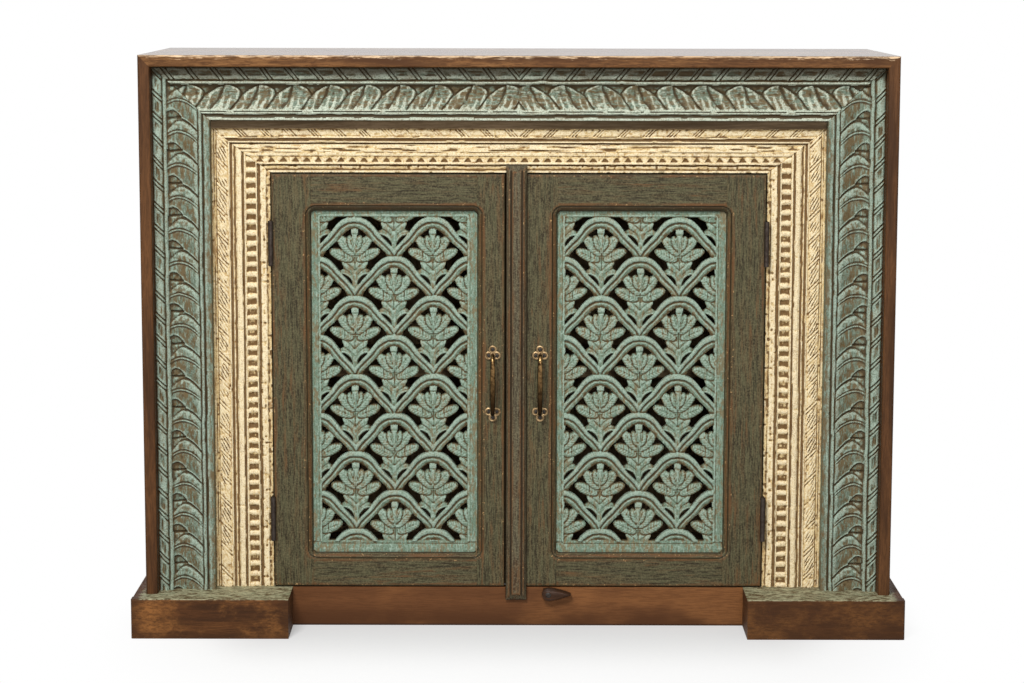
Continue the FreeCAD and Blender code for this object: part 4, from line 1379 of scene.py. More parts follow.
@dataclass
class FishScalePanel:
    """A pierced panel of overlapping arches, each round a sprig of leaves.

    Shares are of one cell, measured from the arch's crown: x to the side and y down. The left
    panel is carved as a right one and mirrored at the end.
    """

    hand: Hand
    field_foot: float = 135.0
    field_top: float = 648.0
    panel_low: Span = (49.0, 102.5)
    panel_high: Span = (334.0, 675.5)
    rows: int = 8
    pitch: Span = (61.0, 61.8)
    front: float = -122.0
    back: float = -110.0
    step: float = 1.32
    sunk: float = -2.4
    outer_line: Line = (
        (0.0, 0.0), (0.1, 0.005), (0.2, 0.022), (0.3, 0.064), (0.39, 0.127), (0.48, 0.217), (0.56, 0.32),
        (0.62, 0.41), (0.69, 0.495), (0.79, 0.6), (0.9, 0.72), (1.0, 0.82),
    )
    groove_line: Line = (
        (0.0, 0.12), (0.16, 0.137), (0.3, 0.205), (0.41, 0.295), (0.5, 0.41), (0.58, 0.51), (0.665, 0.6),
        (0.765, 0.69), (0.86, 0.79), (0.93, 0.88), (1.0, 0.99),
    )
    fine_line: Line = (
        (0.0, 0.185), (0.16, 0.207), (0.285, 0.28), (0.39, 0.38), (0.485, 0.495), (0.575, 0.6),
        (0.67, 0.695), (0.77, 0.785), (0.855, 0.88), (0.93, 0.98), (1.0, 1.2),
    )
    inner_line: Line = (
        (0.0, 0.275), (0.14, 0.32), (0.245, 0.395), (0.35, 0.49), (0.46, 0.61), (0.59, 0.73), (0.7, 0.835),
        (0.775, 0.93), (0.83, 1.05), (1.0, 1.7),
    )
    petals: tuple[tuple[float, ...], ...] = (
        (0.335, 0.97, 0.33, 0.14, 67.0, 1.5),
        (0.205, 0.735, 0.325, 0.145, 42.0, 2.1),
        (0.085, 0.67, 0.21, 0.11, 20.0, 2.6),
    )
    eye: tuple[float, float, float] = (0.335, 1.725, 0.262)

    @staticmethod
    def _from_line(x: Field, y: Field, line: Line) -> Field:
        """How far each point lies below a falling line, at right angles to it.

        Args:
            x: share to the side.
            y: share down from the crown.
            line: the line's points.

        Returns:
            The distance, in shares.
        """
        across, down = (np.array(values) for values in zip(*line))
        slope = np.interp(x, (across[1:] + across[:-1]) / 2, np.diff(down) / np.diff(across))
        return (y - np.interp(x, across, down)) / np.hypot(1.0, slope)

    def _band(self, x: Field, y: Field) -> tuple[Field, Field]:
        """The arched band: a broad roll, a groove, a fine roll and a sloping lip.

        Args:
            x: share to the side, without sign.
            y: share down from the crown.

        Returns:
            The height in millimetres, and how far outside the band each point is, in shares.
        """
        lines = (self.outer_line, self.groove_line, self.fine_line, self.inner_line)
        from_outer, from_groove, from_fine, from_inner = (self._from_line(x, y, line) for line in lines)
        next_outer = self._from_line(unit(1.0 - x), y - 1.0, self.outer_line)
        outside = np.maximum.reduce((-from_outer, from_inner, next_outer, x - 1.0))
        share = unit(from_outer / np.maximum(from_outer - from_groove, 0.01))
        height = -2.6 + 2.6 * roll(share, -0.12, 1.05) ** 0.7
        height = np.where(from_groove > 0.0, -2.7 - 1.6 * unit((from_fine - 0.02) / 0.08), height)
        height = np.where(np.abs(from_fine) < 0.024, -2.7 + 1.2 * groove(from_fine, 0.024), height)
        return height - 0.9 * groove(from_groove - 0.035, 0.052), outside

    def _petal(self, x: Field, y: Field, petal: Sequence[float]) -> tuple[Field, Field]:
        """One leaf with a midrib.

        Args:
            x: share to the side, without sign.
            y: share down from the crown.
            petal: its centre, length, width, lean in degrees and rise.

        Returns:
            Its height and its outline, as for the band.
        """
        centre_x, centre_y, long, wide, lean, rise = petal
        angle = math.radians(lean)
        out_x, up_y = x - centre_x, centre_y - y
        along = out_x * math.sin(angle) + up_y * math.cos(angle)
        side = out_x * math.cos(angle) - up_y * math.sin(angle)
        reach = np.hypot(along / long, side / wide)
        height = -5.6 + rise + 2.2 * np.sqrt(unit(1.0 - 0.85 * reach**2))
        rib = groove(side + 0.004, 0.018) * ramp(along, 0.85 * long, 0.4 * long)
        height = height - 0.9 * rib * ramp(along, -0.7 * long, -0.3 * long)
        height = height + 0.3 * np.sin(2.0 * math.pi * (13.0 * along - 10.0 * np.abs(side)))
        return height, (reach - 1.0) * wide * 0.9

    def _bud(self, x: Field, y: Field) -> tuple[Field, Field]:
        """The flat-topped bud between the leaves.

        Args:
            x: share to the side, without sign.
            y: share down from the crown.

        Returns:
            Its height and its outline, as for the band.
        """
        width = 0.088 - 0.03 * ramp(y, 0.42, 0.5) - 0.04 * ramp(y, 0.6, 0.85)
        outside = np.maximum.reduce((x - width, 0.3 + 0.3 * unit(x - 0.05) - y, y - 0.9))
        height = -1.7 + 1.7 * roll(x, -0.12, 0.12) - 1.2 * groove(y - 0.435, 0.026)
        height = height + 0.6 * roll(y, 0.3, 0.42) - 0.6 * groove(x - 0.036, 0.013) * ramp(y, 0.45, 0.52)
        return height, outside

    def _skirt(self, x: Field, y: Field) -> tuple[Field, Field]:
        """The pads under the leaves and the arms that bear on the bands, with an eye under each.

        Args:
            x: share to the side, without sign.
            y: share down from the crown.

        Returns:
            Their height and their outline, as for the band.
        """
        centre_x, centre_y, radius = self.eye
        from_eye = np.hypot(x - centre_x, y - centre_y)
        limit = 0.325 - 0.035 * ramp(y, 1.17, 1.27) + 0.155 * ramp(y, 1.29, 1.42)
        open_eye = np.where((x > 0.06) & (y > 1.2), radius - from_eye, -1.0)
        outside = np.maximum.reduce((x - limit, 0.98 - y, y - 1.86, open_eye))
        bend = y - 0.25 * unit(1.0 - x / 0.34) ** 1.7
        share = np.mod(np.clip((bend - 0.93) / 0.185, 0.0, 2.999), 1.0)
        height = -3.9 + 1.5 * roll(share, -0.15, 1.0) + 0.5 * roll(x, 0.0, 0.36)
        height = height - 0.9 * groove(share, 0.09) - 0.9 * groove(share - 1.0, 0.09)
        height = height - 0.35 * groove(np.abs(share - 0.45 - 0.5 * x), 0.07) * (x > 0.07)
        arm = np.abs(from_eye - radius - 0.035)
        height = np.where((arm < 0.035) & (y < centre_y), -3.0 + 1.7 * groove(arm, 0.04), height)
        return np.where((x < 0.075) & (y > 1.36), -2.4 + 0.8 * roll(x, -0.075, 0.075), height), outside

    def _cell(self, x: Field, y: Field, height: Field, outside: Field) -> tuple[Field, Field]:
        """One arch with its sprig, laid over what is there already.

        Args:
            x: share to the side, without sign.
            y: share down from the crown.
            height: the height so far, in millimetres.
            outside: how far outside the wood each point is so far, in millimetres.

        Returns:
            Both with this cell in them.
        """
        scale = sum(self.pitch) / 2
        parts = [self._skirt(x, y), *(self._petal(x, y, petal) for petal in self.petals), self._bud(x, y)]
        sprig = np.full(x.shape, -99.0)
        for part_height, part_outside in parts:
            edge = part_outside * scale
            sprig = np.where(edge < 0.6, part_height - 1.0 * groove(edge + 0.4, 0.9), sprig)
            outside = np.minimum(outside, edge)
        rib = groove(x, 0.016) * ramp(y, 0.55, 0.7) * ramp(y, 1.4, 1.3)
        seam = groove(x - 0.27, 0.016) * ramp(y, 0.86, 0.9) * ramp(y, 1.09, 1.06)
        height = np.maximum(height, sprig - rib - seam)
        band_height, band_outside = self._band(x, y)
        edge = band_outside * scale
        return np.where(edge < 0.4, band_height, height), np.minimum(outside, edge)

    def _relief(self, x: Field, z: Field) -> tuple[Field, Field]:
        """Lays out all the cells and the border round them.

        Args:
            x: place to the right.
            z: place upwards.

        Returns:
            The panel's height and outline over its whole grid, both in millimetres.
        """
        wide, tall = self.pitch
        centre, half_width = DOOR_SIZES[self.hand].panel_centre, DOOR_SIZES[self.hand].panel_half_width
        height = np.full(x.shape, -6.0)
        outside = np.full(x.shape, 20.0)
        hand_x = x + 0.9 * ripple(x, z, 37.0, 61 + self.hand.value) + 0.3 * ripple(x, z, 9.0, 63)
        hand_z = z + 0.9 * ripple(x, z, 37.0, 66 + self.hand.value)
        rows, columns = range(-1, self.rows + 1), range(-3, 4)
        for row, column in ((row, column) for row in rows for column in columns if (row + column) % 2):
            crown, middle = self.field_top - tall * row, centre + wide * column
            near_x = np.abs(x[0] - middle) <= 1.05 * wide
            near_z = np.abs(crown - tall - z[:, 0]) <= 1.12 * tall
            if near_x.any() and near_z.any():
                window = np.ix_(near_z, near_x)
                share_x = np.abs(hand_x[window] - middle) / wide
                share_y = (crown - hand_z[window]) / tall
                laid = self._cell(share_x, share_y, height[window], outside[window])
                height[window], outside[window] = laid
        low, high = (centre - half_width, self.field_foot), (centre + half_width, self.field_top)
        border = -box_distance(x, z, low, high, 0.5)
        strip = -2.6 + 1.6 * ramp(border, 0.6, -1.6)
        strip = strip - 1.1 * groove(border + 0.3, 1.1) - 0.9 * groove(border + 4.6, 0.9)
        height = np.where(border < 0.6, np.where(border < -1.0, strip, np.maximum(height, strip)), height)
        foot = self.field_foot - 1.0 - z
        height = np.where(foot > 0.0, height - 1.2 + 0.2 * np.clip(foot, 0.0, 12.0), height)
        return height, np.minimum(outside, border)

    def build(self, finish: Finish) -> None:
        """Carves, pierces and dresses the panel.

        Args:
            finish: the panel's paint.
        """
        x, z = rectangle(self.panel_low, self.panel_high, self.step)
        height, outside = self._relief(x, z)
        height = np.where(outside > 0.8, self.sunk, height)
        if self.hand is Hand.LEFT:
            x, height, outside = -x[:, ::-1], height[:, ::-1], outside[:, ::-1]
        node = f"{self.hand.word}_pierced_panel"
        rough = 0.4 * ripple(x, z, 9.0, 21 + self.hand.value) + 0.3 * ripple(x, z, 2.6, 29)
        depth = np.clip(0.4 - height + rough, 0.0, 8.0)
        board = CarvedBoard(f"carved_{node}", x, z, depth, self.front, self.back, outside, 3.0)
        finish_piece(board.build(), node, self.hand.door, finish)


@dataclass
class DoorFrame:
    """Two stiles and two rails round a sight with small round corners and a moulded edge."""

    hand: Hand
    outer: float = 384.0
    sight_outer: float = 323.0
    foot: float = 64.0
    top: float = 716.0
    sight_foot: float = 117.0
    sight_top: float = 658.0
    corner: float = 7.0
    front: float = -132.0
    back: float = -104.0
    step: float = 1.5

    def _depth(self, x: Field, z: Field) -> tuple[Field, Field]:
        """The worn, moulded face of the door.

        Args:
            x: place to the right.
            z: place upwards.

        Returns:
            Its depth, and its outline inside the sight.
        """
        aside, sizes = np.abs(x), DOOR_SIZES[self.hand]
        low, high = (sizes.sight_inner, self.sight_foot), (self.sight_outer, self.sight_top)
        sight = box_distance(aside, z, low, high, self.corner)
        depth = 9.6 - 2.6 * ramp(sight, -0.5, 0.9) - 5.4 * unit((sight - 0.9) / 5.6) ** 0.8
        depth = np.where(sight > 6.5, 1.4, depth) + 1.5 * groove(sight - 7.6, 1.4)
        depth = np.where(sight > 7.6, depth - 1.4 * ramp(sight, 7.6, 9.6), depth)
        rim = np.minimum.reduce((self.outer - aside, aside - sizes.inner, z - self.foot, self.top - z))
        depth = depth + 1.6 * unit(1.0 - rim / 2.2) ** 1.5
        wave = 0.4 * ripple(x, z, 30.0, 31) + 0.25 * ripple(x, z, (7.0, 16.0), 32)
        return np.clip(depth + wave * ramp(sight, 7.0, 12.0) + 0.3, 0.0, 12.0), -sight

    def build(self, finishes: dict[Grain, Finish]) -> None:
        """Models and dresses the four members.

        Args:
            finishes: the paint for each way that the wood runs.
        """
        sizes = DOOR_SIZES[self.hand]
        low_end, high_start = self.sight_foot + self.corner, self.sight_top - self.corner
        members = (
            ("hinge_stile", (self.sight_outer, self.foot), (self.outer, self.top)),
            ("meeting_stile", (sizes.inner, self.foot), (sizes.sight_inner, self.top)),
            ("bottom_rail", (sizes.sight_inner, self.foot), (self.sight_outer, low_end)),
            ("top_rail", (sizes.sight_inner, high_start), (self.sight_outer, self.top)),
        )
        for part, low, high in members:
            if self.hand is Hand.LEFT:
                low, high = (-high[0], low[1]), (-low[0], high[1])
            x, z = rectangle(low, high, self.step)
            depth, outside = self._depth(x, z)
            way, masked = Grain.UPRIGHT, None
            if part.endswith("rail"):
                way, masked = Grain.ACROSS, outside
                depth = depth + 0.5 * groove(np.minimum(np.abs(x - low[0]), np.abs(x - high[0])), 1.0)
            node = f"{self.hand.word}_door_{part}"
            board = CarvedBoard(f"worn_{node}", x, z, depth, self.front, self.back, masked, 1.2, 3)
            finish_piece(board.build(), node, self.hand.door, finishes[way])


@dataclass
class CoverStrip:
    """The moulded strip over the gap between the doors, with hipped ends."""

    low: Span = (-19.5, 43.0)
    high: Span = (13.5, 730.5)
    front: float = -144.0
    back: float = -132.0
    end: float = 11.0
    step: float = 0.9
    lines: Line = (
        (0.0, 8.0), (3.6, 3.2), (4.4, 1.6), (6.6, 1.2), (7.2, 3.6), (8.6, 3.6), (9.6, 1.0),
        (13.0, 0.2), (16.5, 0.0), (20.0, 0.2), (23.2, 1.0), (24.4, 3.6), (25.8, 3.6), (26.4, 1.2),
        (28.6, 1.6), (29.4, 3.2), (33.0, 8.0),
    )

    def build(self, finish: Finish) -> None:
        """Models and dresses the strip.

        Args:
            finish: the strip's paint.
        """
        x, z = rectangle(self.low, self.high, self.step)
        depth = np.interp(x - self.low[0], *zip(*self.lines))
        end = np.minimum(z - self.low[1], self.high[1] - z)
        depth = np.maximum(depth, 8.6 * unit(1.0 - end / self.end))
        depth = np.clip(depth + 0.3 * ripple(x, z, (6.0, 20.0), 41) + 0.2, 0.0, 9.5)
        board = CarvedBoard("worn_cover_strip", x, z, depth, self.front, self.back, None, 1.6, 3)
        finish_piece(board.build(), "cover_strip", Body.RIGHT_DOOR, finish)


# Metalwork and the turn button


def slotted_screw(place: Sequence[float], radius: float, rise: float, turn: float, steel: Finish) -> Piece:
    """A round screw head on a plane that faces the front, with a slot across it.

    Args:
        place: the middle of its underside, in millimetres.
        radius: the head's radius.
        rise: how far it stands out.
        turn: how far the slot is turned, in degrees.
        steel: its finish.

    Returns:
        The head.
    """
    bpy.ops.object.select_all(action="DESELECT")
    bpy.ops.mesh.primitive_circle_add(vertices=24, radius=radius * MM, fill_type="NGON")
    head = bpy.context.object
    half_slot = 0.13 * radius * MM
    with editing():
        extrude((0.0, 0.0, 0.5 * rise))
        inset(0.18 * radius, 0.35 * rise)
        inset(0.2 * radius, 0.15 * rise)
        for offset in (-half_slot, half_slot):
            bpy.ops.mesh.select_all(action="SELECT")
            bpy.ops.mesh.bisect(plane_co=(0.0, offset, 0.0), plane_no=(0.0, 1.0, 0.0))
    sides = head.data.polygons
    select_faces(head, [abs(side.center.y) < half_slot and side.normal.z > 0.3 for side in sides])
    extrude((0.0, 0.0, -0.45 * rise))
    bpy.ops.object.mode_set(mode="OBJECT")
    turned = Matrix.Rotation(QUARTER_TURN, 4, "X") @ Matrix.Rotation(math.radians(turn), 4, "Z")
    head.matrix_world = Matrix.Translation(metres(place)) @ turned
    head.data.materials.append(steel)
    return head


@dataclass
class BowHandle:
    """A rigid bow handle on two plates of three lobes, each with a sunk screw."""

    hand: Hand
    high: float = 434.0
    low: float = 342.0
    face: float = -132.0
    plate: float = 2.5
    stand: float = 24.0
    rod: float = 3.3
    bend: float = 10.0
    runs: int = 12
    swell: float = 0.36
    swell_reach: float = 40.0
    lobe: float = 6.6
    rim: float = 0.7
    sink: float = 3.7
    spread: float = 6.2
    collar: Span = (4.4, 3.6)

    @property
    def x(self) -> float:
        """The handle's place to the right."""
        return DOOR_SIZES[self.hand].handle

    def _bow(self, metal: Finish) -> Piece:
        """The bow: a ring drawn forward, bent up, along and back, then swollen in its middle.

        Args:
            metal: its finish.

        Returns:
            The bow.
        """
        start = self.face - self.plate
        forward = self.stand - self.plate - self.bend
        run = (self.high - self.low - 2 * self.bend) / self.runs
        bow = ring(20, self.rod, (self.x, start, self.low), "NOTHING")
        bow.data.materials.append(metal)
        with editing():
            extrude((0.0, -forward, 0.0), edges=True)
            for level, runs in ((self.low + self.bend, self.runs), (self.high - self.bend, 0)):
                centre = metres((self.x, start - forward, level))
                bpy.ops.mesh.spin(steps=8, angle=QUARTER_TURN, center=centre, axis=(1, 0, 0))
                for _ in range(runs):
                    extrude((0.0, 0.0, run), edges=True)
            extrude((0.0, forward, 0.0), edges=True)
        axis_x, axis_y, middle = metres((self.x, self.face - self.stand, (self.high + self.low) / 2))
        for vertex in bow.data.vertices:
            near = 1.0 - min(abs(vertex.co.z - middle) / (self.swell_reach * MM), 1.0)
            swell = 1.0 + self.swell * math.sqrt(near)
            vertex.co.x = axis_x + (vertex.co.x - axis_x) * swell
            if near > 0.0:
                vertex.co.y = axis_y + (vertex.co.y - axis_y) * swell
        return bow

    def _lobe(self, x: float, z: float, thickness: float) -> Piece:
        """One round lobe with a soft rim and a sunk hole for its screw.

        Args:
            x: its place to the right.
            z: its place upwards.
            thickness: how thick it is.

        Returns:
            The lobe.
        """
        lobe = ring(28, self.lobe, (x, self.face, z))
        flat = self.lobe - self.sink - 1.2
        with editing():
            extrude((0.0, self.rim - thickness, 0.0))
            for across, depth in ((self.rim, 0.6), (flat, 0.1), (0.5, -0.3), (0.6, -1.2)):
                inset(across, depth)
        return lobe

    def _plate(self, level: float, metal: Finish, steel: Finish) -> list[Piece]:
        """One plate: three lobes, a sunk screw in each, and a collar where the bow stands.

        Args:
            level: its place upwards.
            metal: its finish.
            steel: the finish of its screws.

        Returns:
            Its parts.
        """
        sign = 1.0 if level > (self.high + self.low) / 2 else -1.0
        parts = []
        for index, (across, up) in enumerate(((0.0, 1.25), (-1.0, -0.25), (1.0, -0.25))):
            x, z = self.x + across * self.spread, level + sign * up * self.spread
            parts.append(self._lobe(x, z, self.plate - 0.06 * index))
            parts[-1].data.materials.append(metal)
            place, turn = (x, self.face - 0.9, z), 40.0 + 50.0 * index
            parts.append(slotted_screw(place, self.sink - 0.9, 1.1, turn, steel))
        bpy.ops.object.select_all(action="DESELECT")
        radius, depth = metres(self.collar)
        bpy.ops.mesh.primitive_cylinder_add(
            vertices=24, radius=radius, depth=depth, rotation=TO_FRONT,
            location=metres((self.x, self.face - self.plate - 0.9, level - 0.6 * sign)),
        )
        parts.append(bpy.context.object)
        with editing():
            bpy.ops.mesh.bevel(offset=0.9 * MM, segments=2)
        parts[-1].data.materials.append(metal)
        return parts

    def build(self, metal: Finish, dull: Finish, steel: Finish) -> None:
        """Models and dresses the handle.

        Args:
            metal: the finish of the bow, with painted shade towards its lower end.
            dull: the finish of its plates.
            steel: the finish of its screws.
        """
        parts = [self._bow(metal)]
        for level in (self.high, self.low):
            parts.extend(self._plate(level, dull, steel))
        node = f"{self.hand.word}_door_handle"
        finish_piece(join_parts(parts, f"cast_{node}"), node, self.hand.door, None)


@dataclass
class TurnButton:
    """The wooden button on the rail: a drop with wide chamfers, held by a slotted screw.

    The outline is given as runs along the button from its pivot, each with a half width.
    """

    x: float = 48.0
    z: float = 52.5
    front: float = -145.0
    back: float = -133.0
    chamfer: float = 3.6
    heart: float = 8.0
    outline: Line = (
        (-10.0, 0.0), (-9.6, 2.8), (-8.3, 5.6), (-6.2, 7.8), (-3.2, 9.4), (0.0, 10.0), (4.0, 9.9),
        (9.0, 9.2), (14.0, 8.1), (19.0, 6.8), (24.0, 5.4), (29.0, 3.8), (33.0, 2.4), (35.4, 1.0),
        (36.0, 0.0),
    )

    def _blank(self) -> Piece:
        """Draws the button's outline on its rear plane.

        Returns:
            A flat face of that outline.
        """
        rim = [*self.outline, *((run, -half) for run, half in self.outline[-2:0:-1])]
        blank = ring(len(rim), 10.0, (self.x, self.back, self.z))
        x, z = metres((self.x, self.z))
        around = sorted(blank.data.vertices, key=lambda vertex: math.atan2(z - vertex.co.z, x - vertex.co.x))
        start = min(range(len(around)), key=lambda index: around[index].co.x)
        for index, (run, half) in enumerate(rim):
            vertex = around[(start + index) % len(around)]
            vertex.co = metres((self.x + run, self.back, self.z + half))
        return blank

    def build(self, wood: Finish, metal: Finish) -> None:
        """Models and dresses the button and its screw.

        Args:
            wood: the button's finish.
            metal: the screw's finish.
        """
        button = self._blank()
        heart = metres((self.x + self.heart, self.back, self.z))
        with editing():
            extrude((0.0, self.front - self.back + self.chamfer, 0.0))
            extrude((0.0, -self.chamfer, 0.0))
            bpy.ops.transform.resize(value=(0.8, 1.0, 0.64), center_override=heart)
            inset(0.5, -0.3)
        button = join_parts([button], "carved_turn_button")
        finish_piece(button, "turn_button", Body.TURN_BUTTON, wood)
        screw = slotted_screw((self.x, self.front + 0.4, self.z), 4.4, 1.9, 40.0, metal)
        screw = join_parts([screw], "slotted_button_screw")
        finish_piece(screw, "button_screw", Body.CARCASS, metal)


# Case, plinth and small ironwork, which keep their own solids


class CaseFinishes:
    """Dresses the nodes whose solids are already the finished shape."""

    TOP = ink(70, 42, 20), ink(122, 82, 46), ink(156, 112, 68)
    STAIN = ink(54, 32, 14), ink(88, 56, 30), ink(118, 78, 44)
    BLOCK = ink(54, 31, 13), ink(88, 53, 26), ink(146, 96, 50)
    # The inside wood is paler than a dark stain: painted light for what reaches the inside through the
    # pierced panels.
    PLAIN = ink(92, 74, 52), ink(132, 110, 80), ink(156, 134, 102)
    STRIP = ink(84, 66, 44), ink(124, 102, 76), ink(146, 126, 98)
    RAIL = ink(72, 42, 20), ink(108, 68, 38), ink(132, 86, 48), ink(44, 26, 16)
    OLD_PAINT = ink(108, 112, 86), ink(170, 166, 134), ink(84, 64, 38)

    def _block(self, name: str, way: Grain, parts: Sequence[str]) -> tuple[Finish, list[str]]:
        """The painted wood of the plinth blocks' members that run one way.

        Args:
            name: the material's name.
            way: how the wood runs.
            parts: which members.

        Returns:
            Their finish and their names.
        """
        wood = StainedWood("block", *self.BLOCK, way, patches=0.2)
        names = [f"{hand.word}_block_{part}" for hand in Hand for part in parts]
        return PaintedBlock(name, wood, *self.OLD_PAINT).material(), names

    def _table(self) -> list[tuple[Finish, list[str]]]:
        """Makes the woods and the iron.

        Returns:
            Each finish, with the nodes that wear it.
        """
        side = StainedWood("case_wood_upright", *self.STAIN, Grain.UPRIGHT)
        top = StainedWood("top_wood", *self.TOP, Grain.ACROSS, patches=0.6, gloss=0.2, sheen=0.5)
        strip = StainedWood("strip_wood", *self.STRIP, Grain.ACROSS, gloss=0.55)
        across, deep, upright = (
            StainedWood(f"inside_wood_{way.value}", *self.PLAIN, way, patches=0.3, gloss=0.6)
            for way in Grain
        )
        iron = OldMetal("hinge_iron", ink(58, 50, 44), ink(38, 26, 16), 0.7, 0.45)
        leaves = [
            f"{hand.word}_{level}_hinge_{leaf}"
            for hand in Hand for level in ("lower", "upper") for leaf in ("frame_leaf", "door_leaf")
        ]
        plain = (
            # Its pale colour marks wear along the front arris and a painted highlight just under it.
            (WaxedTop(top, ink(240, 208, 168)), ["top_board"]),
            (side, ["left_side_board", "right_side_board", "button_spacer"]),
            (across, ["bottom_board", "shelf", "door_stop", "back_rail"]),
            (upright, ["back_panel"]),
            (deep, ["left_shelf_cleat", "right_shelf_cleat"]),
            (strip, ["head_strip"]),
            (SawnWood("rail_wood", *self.RAIL), ["front_rail"]),
            (iron, leaves),
        )
        return [
            *((finish.material(), names) for finish, names in plain),
            self._block("block_wood", Grain.ACROSS, ("front", "cap")),
            self._block("block_side_wood", Grain.DEEP, ("side", "return")),
        ]

    def dress(self) -> None:
        """Gives each kept node its finish."""
        for finish, names in self._table():
            for name in names:
                materials = bpy.data.objects[name].data.materials
                materials.clear()
                materials.append(finish)
            LOG.info("%s: %d nodes", finish.name, len(names))


class Paints:
    """The paints and metals of the new pieces, one for each way that the wood runs."""

    def __init__(self) -> None:
        """Makes them."""
        # Both pales colour pale streaks and ridge crests; the head's is lighter than the jambs' as a painted
        # highlight on its bead and leaves.
        pales_and_highlights = {Grain.ACROSS: ink(206, 214, 194), Grain.UPRIGHT: ink(164, 182, 166)}
        shades = ink(90, 99, 81), ink(64, 50, 30), ink(100, 79, 48)
        worn = {"dirt": (0.71, 0.87), "rub": 0.85, "waxed": (0.18, 0.83), "crest": 0.7}
        # Painted shadow of the top board's overhang on the head's rope.
        worn["soot"] = (0.859, 0.874)
        self.teal = {
            way: self._carved("teal_paint", way, (ink(116, 131, 116), pale, *shades), worn)
            for way, pale in pales_and_highlights.items()
        }
        creams = ink(219, 197, 148), ink(236, 221, 186), ink(194, 164, 112)
        shades = *creams, ink(98, 70, 38), ink(146, 108, 62)
        worn = {"dirt": (0.8, 0.95), "rub": 0.8, "waxed": (0.28, 0.78)}
        self.cream = {way: self._carved("cream_paint", way, shades, worn) for way in pales_and_highlights}
        shades = ink(116, 137, 120), ink(160, 180, 164), ink(96, 112, 92), ink(76, 59, 34), ink(118, 98, 66)
        worn = {"dirt": (0.77, 0.91), "waxed": (0.3, 0.85), "crest": 0.7}
        self.panel = CarvedPaint("panel_paint", *shades, Grain.UPRIGHT, **worn).material()
        chip = ink(176, 140, 94)
        shades = ink(80, 77, 54), ink(114, 105, 76), ink(98, 66, 38), ink(42, 35, 21), chip
        self.door = {way: RubbedPaint(f"door_paint_{way.value}", *shades, way).material() for way in pales_and_highlights}
        shades = ink(88, 82, 62), ink(130, 122, 96), ink(100, 68, 40), ink(48, 38, 26), chip
        self.strip = RubbedPaint("strip_paint", *shades, Grain.UPRIGHT).material()
        shades = ink(158, 124, 80), ink(44, 30, 16)
        # The bow's bronze gets painted shade towards its lower end.
        self.bronze = OldMetal("old_bronze", *shades, 1.0, 0.17, (0.35, 0.445)).material()
        self.plate = OldMetal("plate_bronze", ink(150, 126, 92), ink(98, 78, 52), 0.9, 0.38).material()
        self.screw = OldMetal("screw_steel", ink(38, 30, 22), ink(20, 15, 10), 0.3, 0.55).material()
        shades = ink(46, 29, 18), ink(80, 52, 34), ink(104, 72, 50)
        self.button = StainedWood("button_wood", *shades, Grain.ACROSS, patches=0.4, gloss=0.35).material()

    def _carved(self, name: str, way: Grain, shades: Sequence[Colour], worn: dict[str, object]) -> Finish:
        """Paint over a carved frame, for one way that its wood runs."""
        return CarvedPaint(f"{name}_{way.value}", *shades, way, **worn).material()


# Studio


@dataclass(frozen=True)
class Lamp:
    """A square soft box aimed at a height over the middle of the floor, in metres and watts."""

    name: str
    place: tuple[float, float, float]
    aim: float
    size: float
    power: float

    def hang(self) -> Piece:
        """Puts the lamp up.

        Returns:
            The lamp.
        """
        light = bpy.data.lights.new(self.name, "AREA")
        light.size = self.size
        light.energy = self.power
        lamp = bpy.data.objects.new(self.name, light)
        bpy.context.scene.collection.objects.link(lamp)
        lamp.location = self.place
        way = Vector(self.place) - Vector((0.0, 0.0, self.aim))
        lamp.rotation_euler = way.to_track_quat("Z", "Y").to_euler()
        return lamp


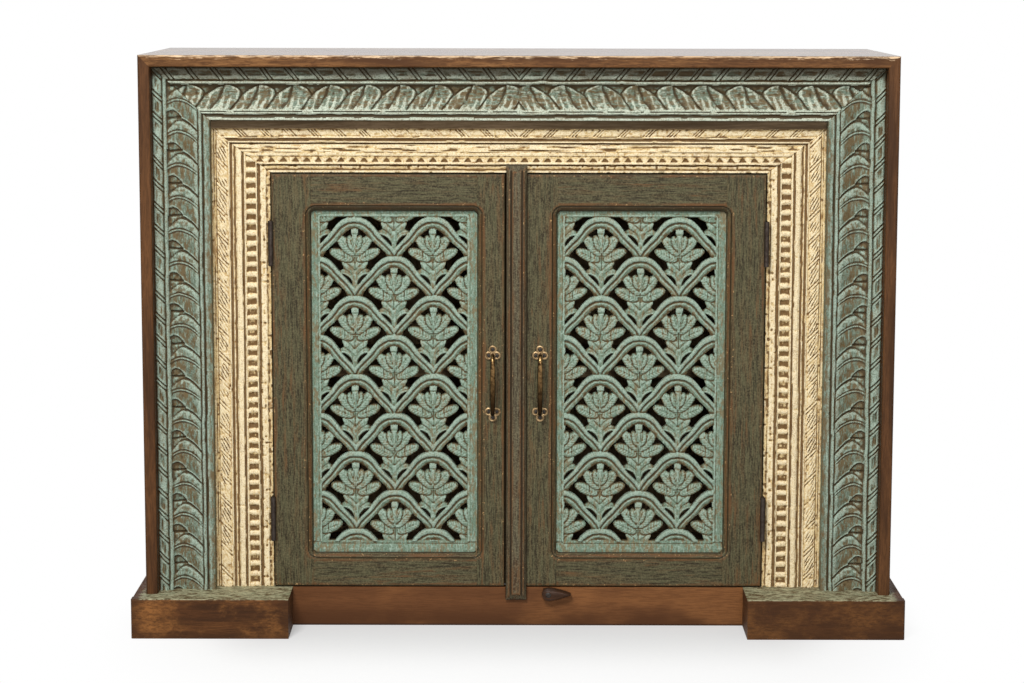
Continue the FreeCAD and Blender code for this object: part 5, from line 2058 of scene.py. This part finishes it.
@dataclass
class Studio:
    """The pale floor, the soft lamps and the camera."""

    eye: tuple[float, float, float] = (-9.5, -4266.5, 1024.2)
    down: float = 7.845
    yaw: float = -0.007
    roll: float = 0.108
    lens: float = 93.97
    world: float = 0.22
    # The floor's glow right at the plinth's front, lowered there as a painted contact shadow.
    contact: float = 0.36
    near: Span = (0.55, 0.42)
    clear: Span = (0.12, 0.62)
    side_start: float = 220.0
    side_haste: float = 2.1
    lamps: tuple[Lamp, ...] = (
        Lamp("key", (-0.9, -3.1, 3.1), aim=0.45, size=1.1, power=156.0),
        Lamp("fill", (0.5, -4.1, 1.25), aim=0.4, size=0.8, power=50.0),
    )

    def _distance(self, nodes: Palette) -> Socket:
        """How far a point of the floor is from the plinth's front, growing faster at its sides.

        Args:
            nodes: the floor's material.

        Returns:
            The distance, in metres.
        """
        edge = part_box("right_block_side")[1].x - self.side_start * MM
        side = nodes.sum("SUBTRACT", nodes.sum("ABSOLUTE", nodes.axis("X")), edge)
        side = nodes.times(nodes.sum("MAXIMUM", side, 0.0), self.side_haste)
        away = nodes.sum("SUBTRACT", nodes.axis("Y"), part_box("front_rail")[0].y)
        return nodes.sum("SQRT", nodes.sum("ADD", nodes.times(side, side), nodes.times(away, away)))

    def _floor(self) -> Piece:
        """Lays a wide floor that keeps the shadow near the sideboard, darkens it with a painted contact
        shadow in front of the plinth, and is plain white beyond.

        Returns:
            The floor.
        """
        bpy.ops.object.select_all(action="DESELECT")
        bpy.ops.mesh.primitive_plane_add(size=60.0, location=(0.0, 0.0, 0.0))
        floor = bpy.context.object
        floor.name = "floor"
        nodes = Palette("floor_paper")
        seen, distance = nodes.seen(), self._distance(nodes)
        far = nodes.step(distance, *self.clear)
        glow, tone = self.near
        # Painted contact shadow: the floor's glow drops within 0.3 m of the plinth's front.
        contact_shadow = nodes.step(distance, 0.3, 0.0, (0.0, self.contact - glow))
        emission = nodes.sum("ADD", nodes.sum("MULTIPLY_ADD", far, 1.0 - glow, glow), contact_shadow)
        nodes.put(nodes.shader["Emission Color"], WHITE)
        nodes.put(nodes.shader["Emission Strength"], nodes.times(seen, emission))
        grey = nodes.blend(far, (tone, tone, tone, 1.0), BLACK)
        floor.data.materials.append(nodes.done(nodes.blend(seen, (0.4, 0.4, 0.4, 1.0), grey), 0.9, 0.0))
        return floor

    def _world(self) -> None:
        """An even white sky, at full white where the camera or a mirror shows it."""
        world = bpy.data.worlds.new("studio")
        bpy.context.scene.world = world
        world.use_nodes = True
        nodes = Nodes(world.node_tree)
        sky = world.node_tree.nodes["Background"].inputs
        nodes.put(sky["Color"], WHITE)
        nodes.put(sky["Strength"], nodes.step(nodes.seen(), 0.0, 1.0, (self.world, 1.0)))

    def _camera(self) -> None:
        """The camera, where the photograph was taken from."""
        pitch, yaw, turn = (math.radians(angle) for angle in (self.down, self.yaw, self.roll))
        east, north = math.sin(yaw), math.cos(yaw)
        forward = Vector((east * math.cos(pitch), north * math.cos(pitch), -math.sin(pitch)))
        right = Vector((north, -east, 0.0))
        up = right.cross(forward)
        level = math.cos(turn) * right + math.sin(turn) * up
        upright = -math.sin(turn) * right + math.cos(turn) * up
        camera = bpy.data.cameras.new("camera")
        camera.lens = self.lens
        camera.sensor_width = 36.0
        camera.clip_end = 200.0
        holder = bpy.data.objects.new("camera", camera)
        bpy.context.scene.collection.objects.link(holder)
        axes = Matrix((level, upright, -forward)).transposed().to_4x4()
        holder.matrix_world = Matrix.Translation(metres(self.eye)) @ axes
        bpy.context.scene.camera = holder

    def build(self) -> None:
        """Sets up the studio."""
        bpy.context.scene.view_settings.view_transform = "Standard"
        self._world()
        self._floor()
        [lamp.hang() for lamp in self.lamps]
        self._camera()
        LOG.info("studio: %d lamps", len(self.lamps))


def main() -> None:
    """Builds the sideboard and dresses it."""
    logging.basicConfig(level=logging.INFO, format="%(message)s")
    paints = Paints()
    CaseFinishes().dress()
    LeafFrame().build(paints.teal)
    BeadFrame().build(paints.cream)
    for hand in Hand:
        DoorFrame(hand).build(paints.door)
        FishScalePanel(hand).build(paints.panel)
        BowHandle(hand).build(paints.bronze, paints.plate, paints.screw)
    CoverStrip().build(paints.strip)
    TurnButton().build(paints.button, paints.screw)
    Studio().build()
    bpy.context.view_layer.update()


if __name__ == "__main__":
    main()
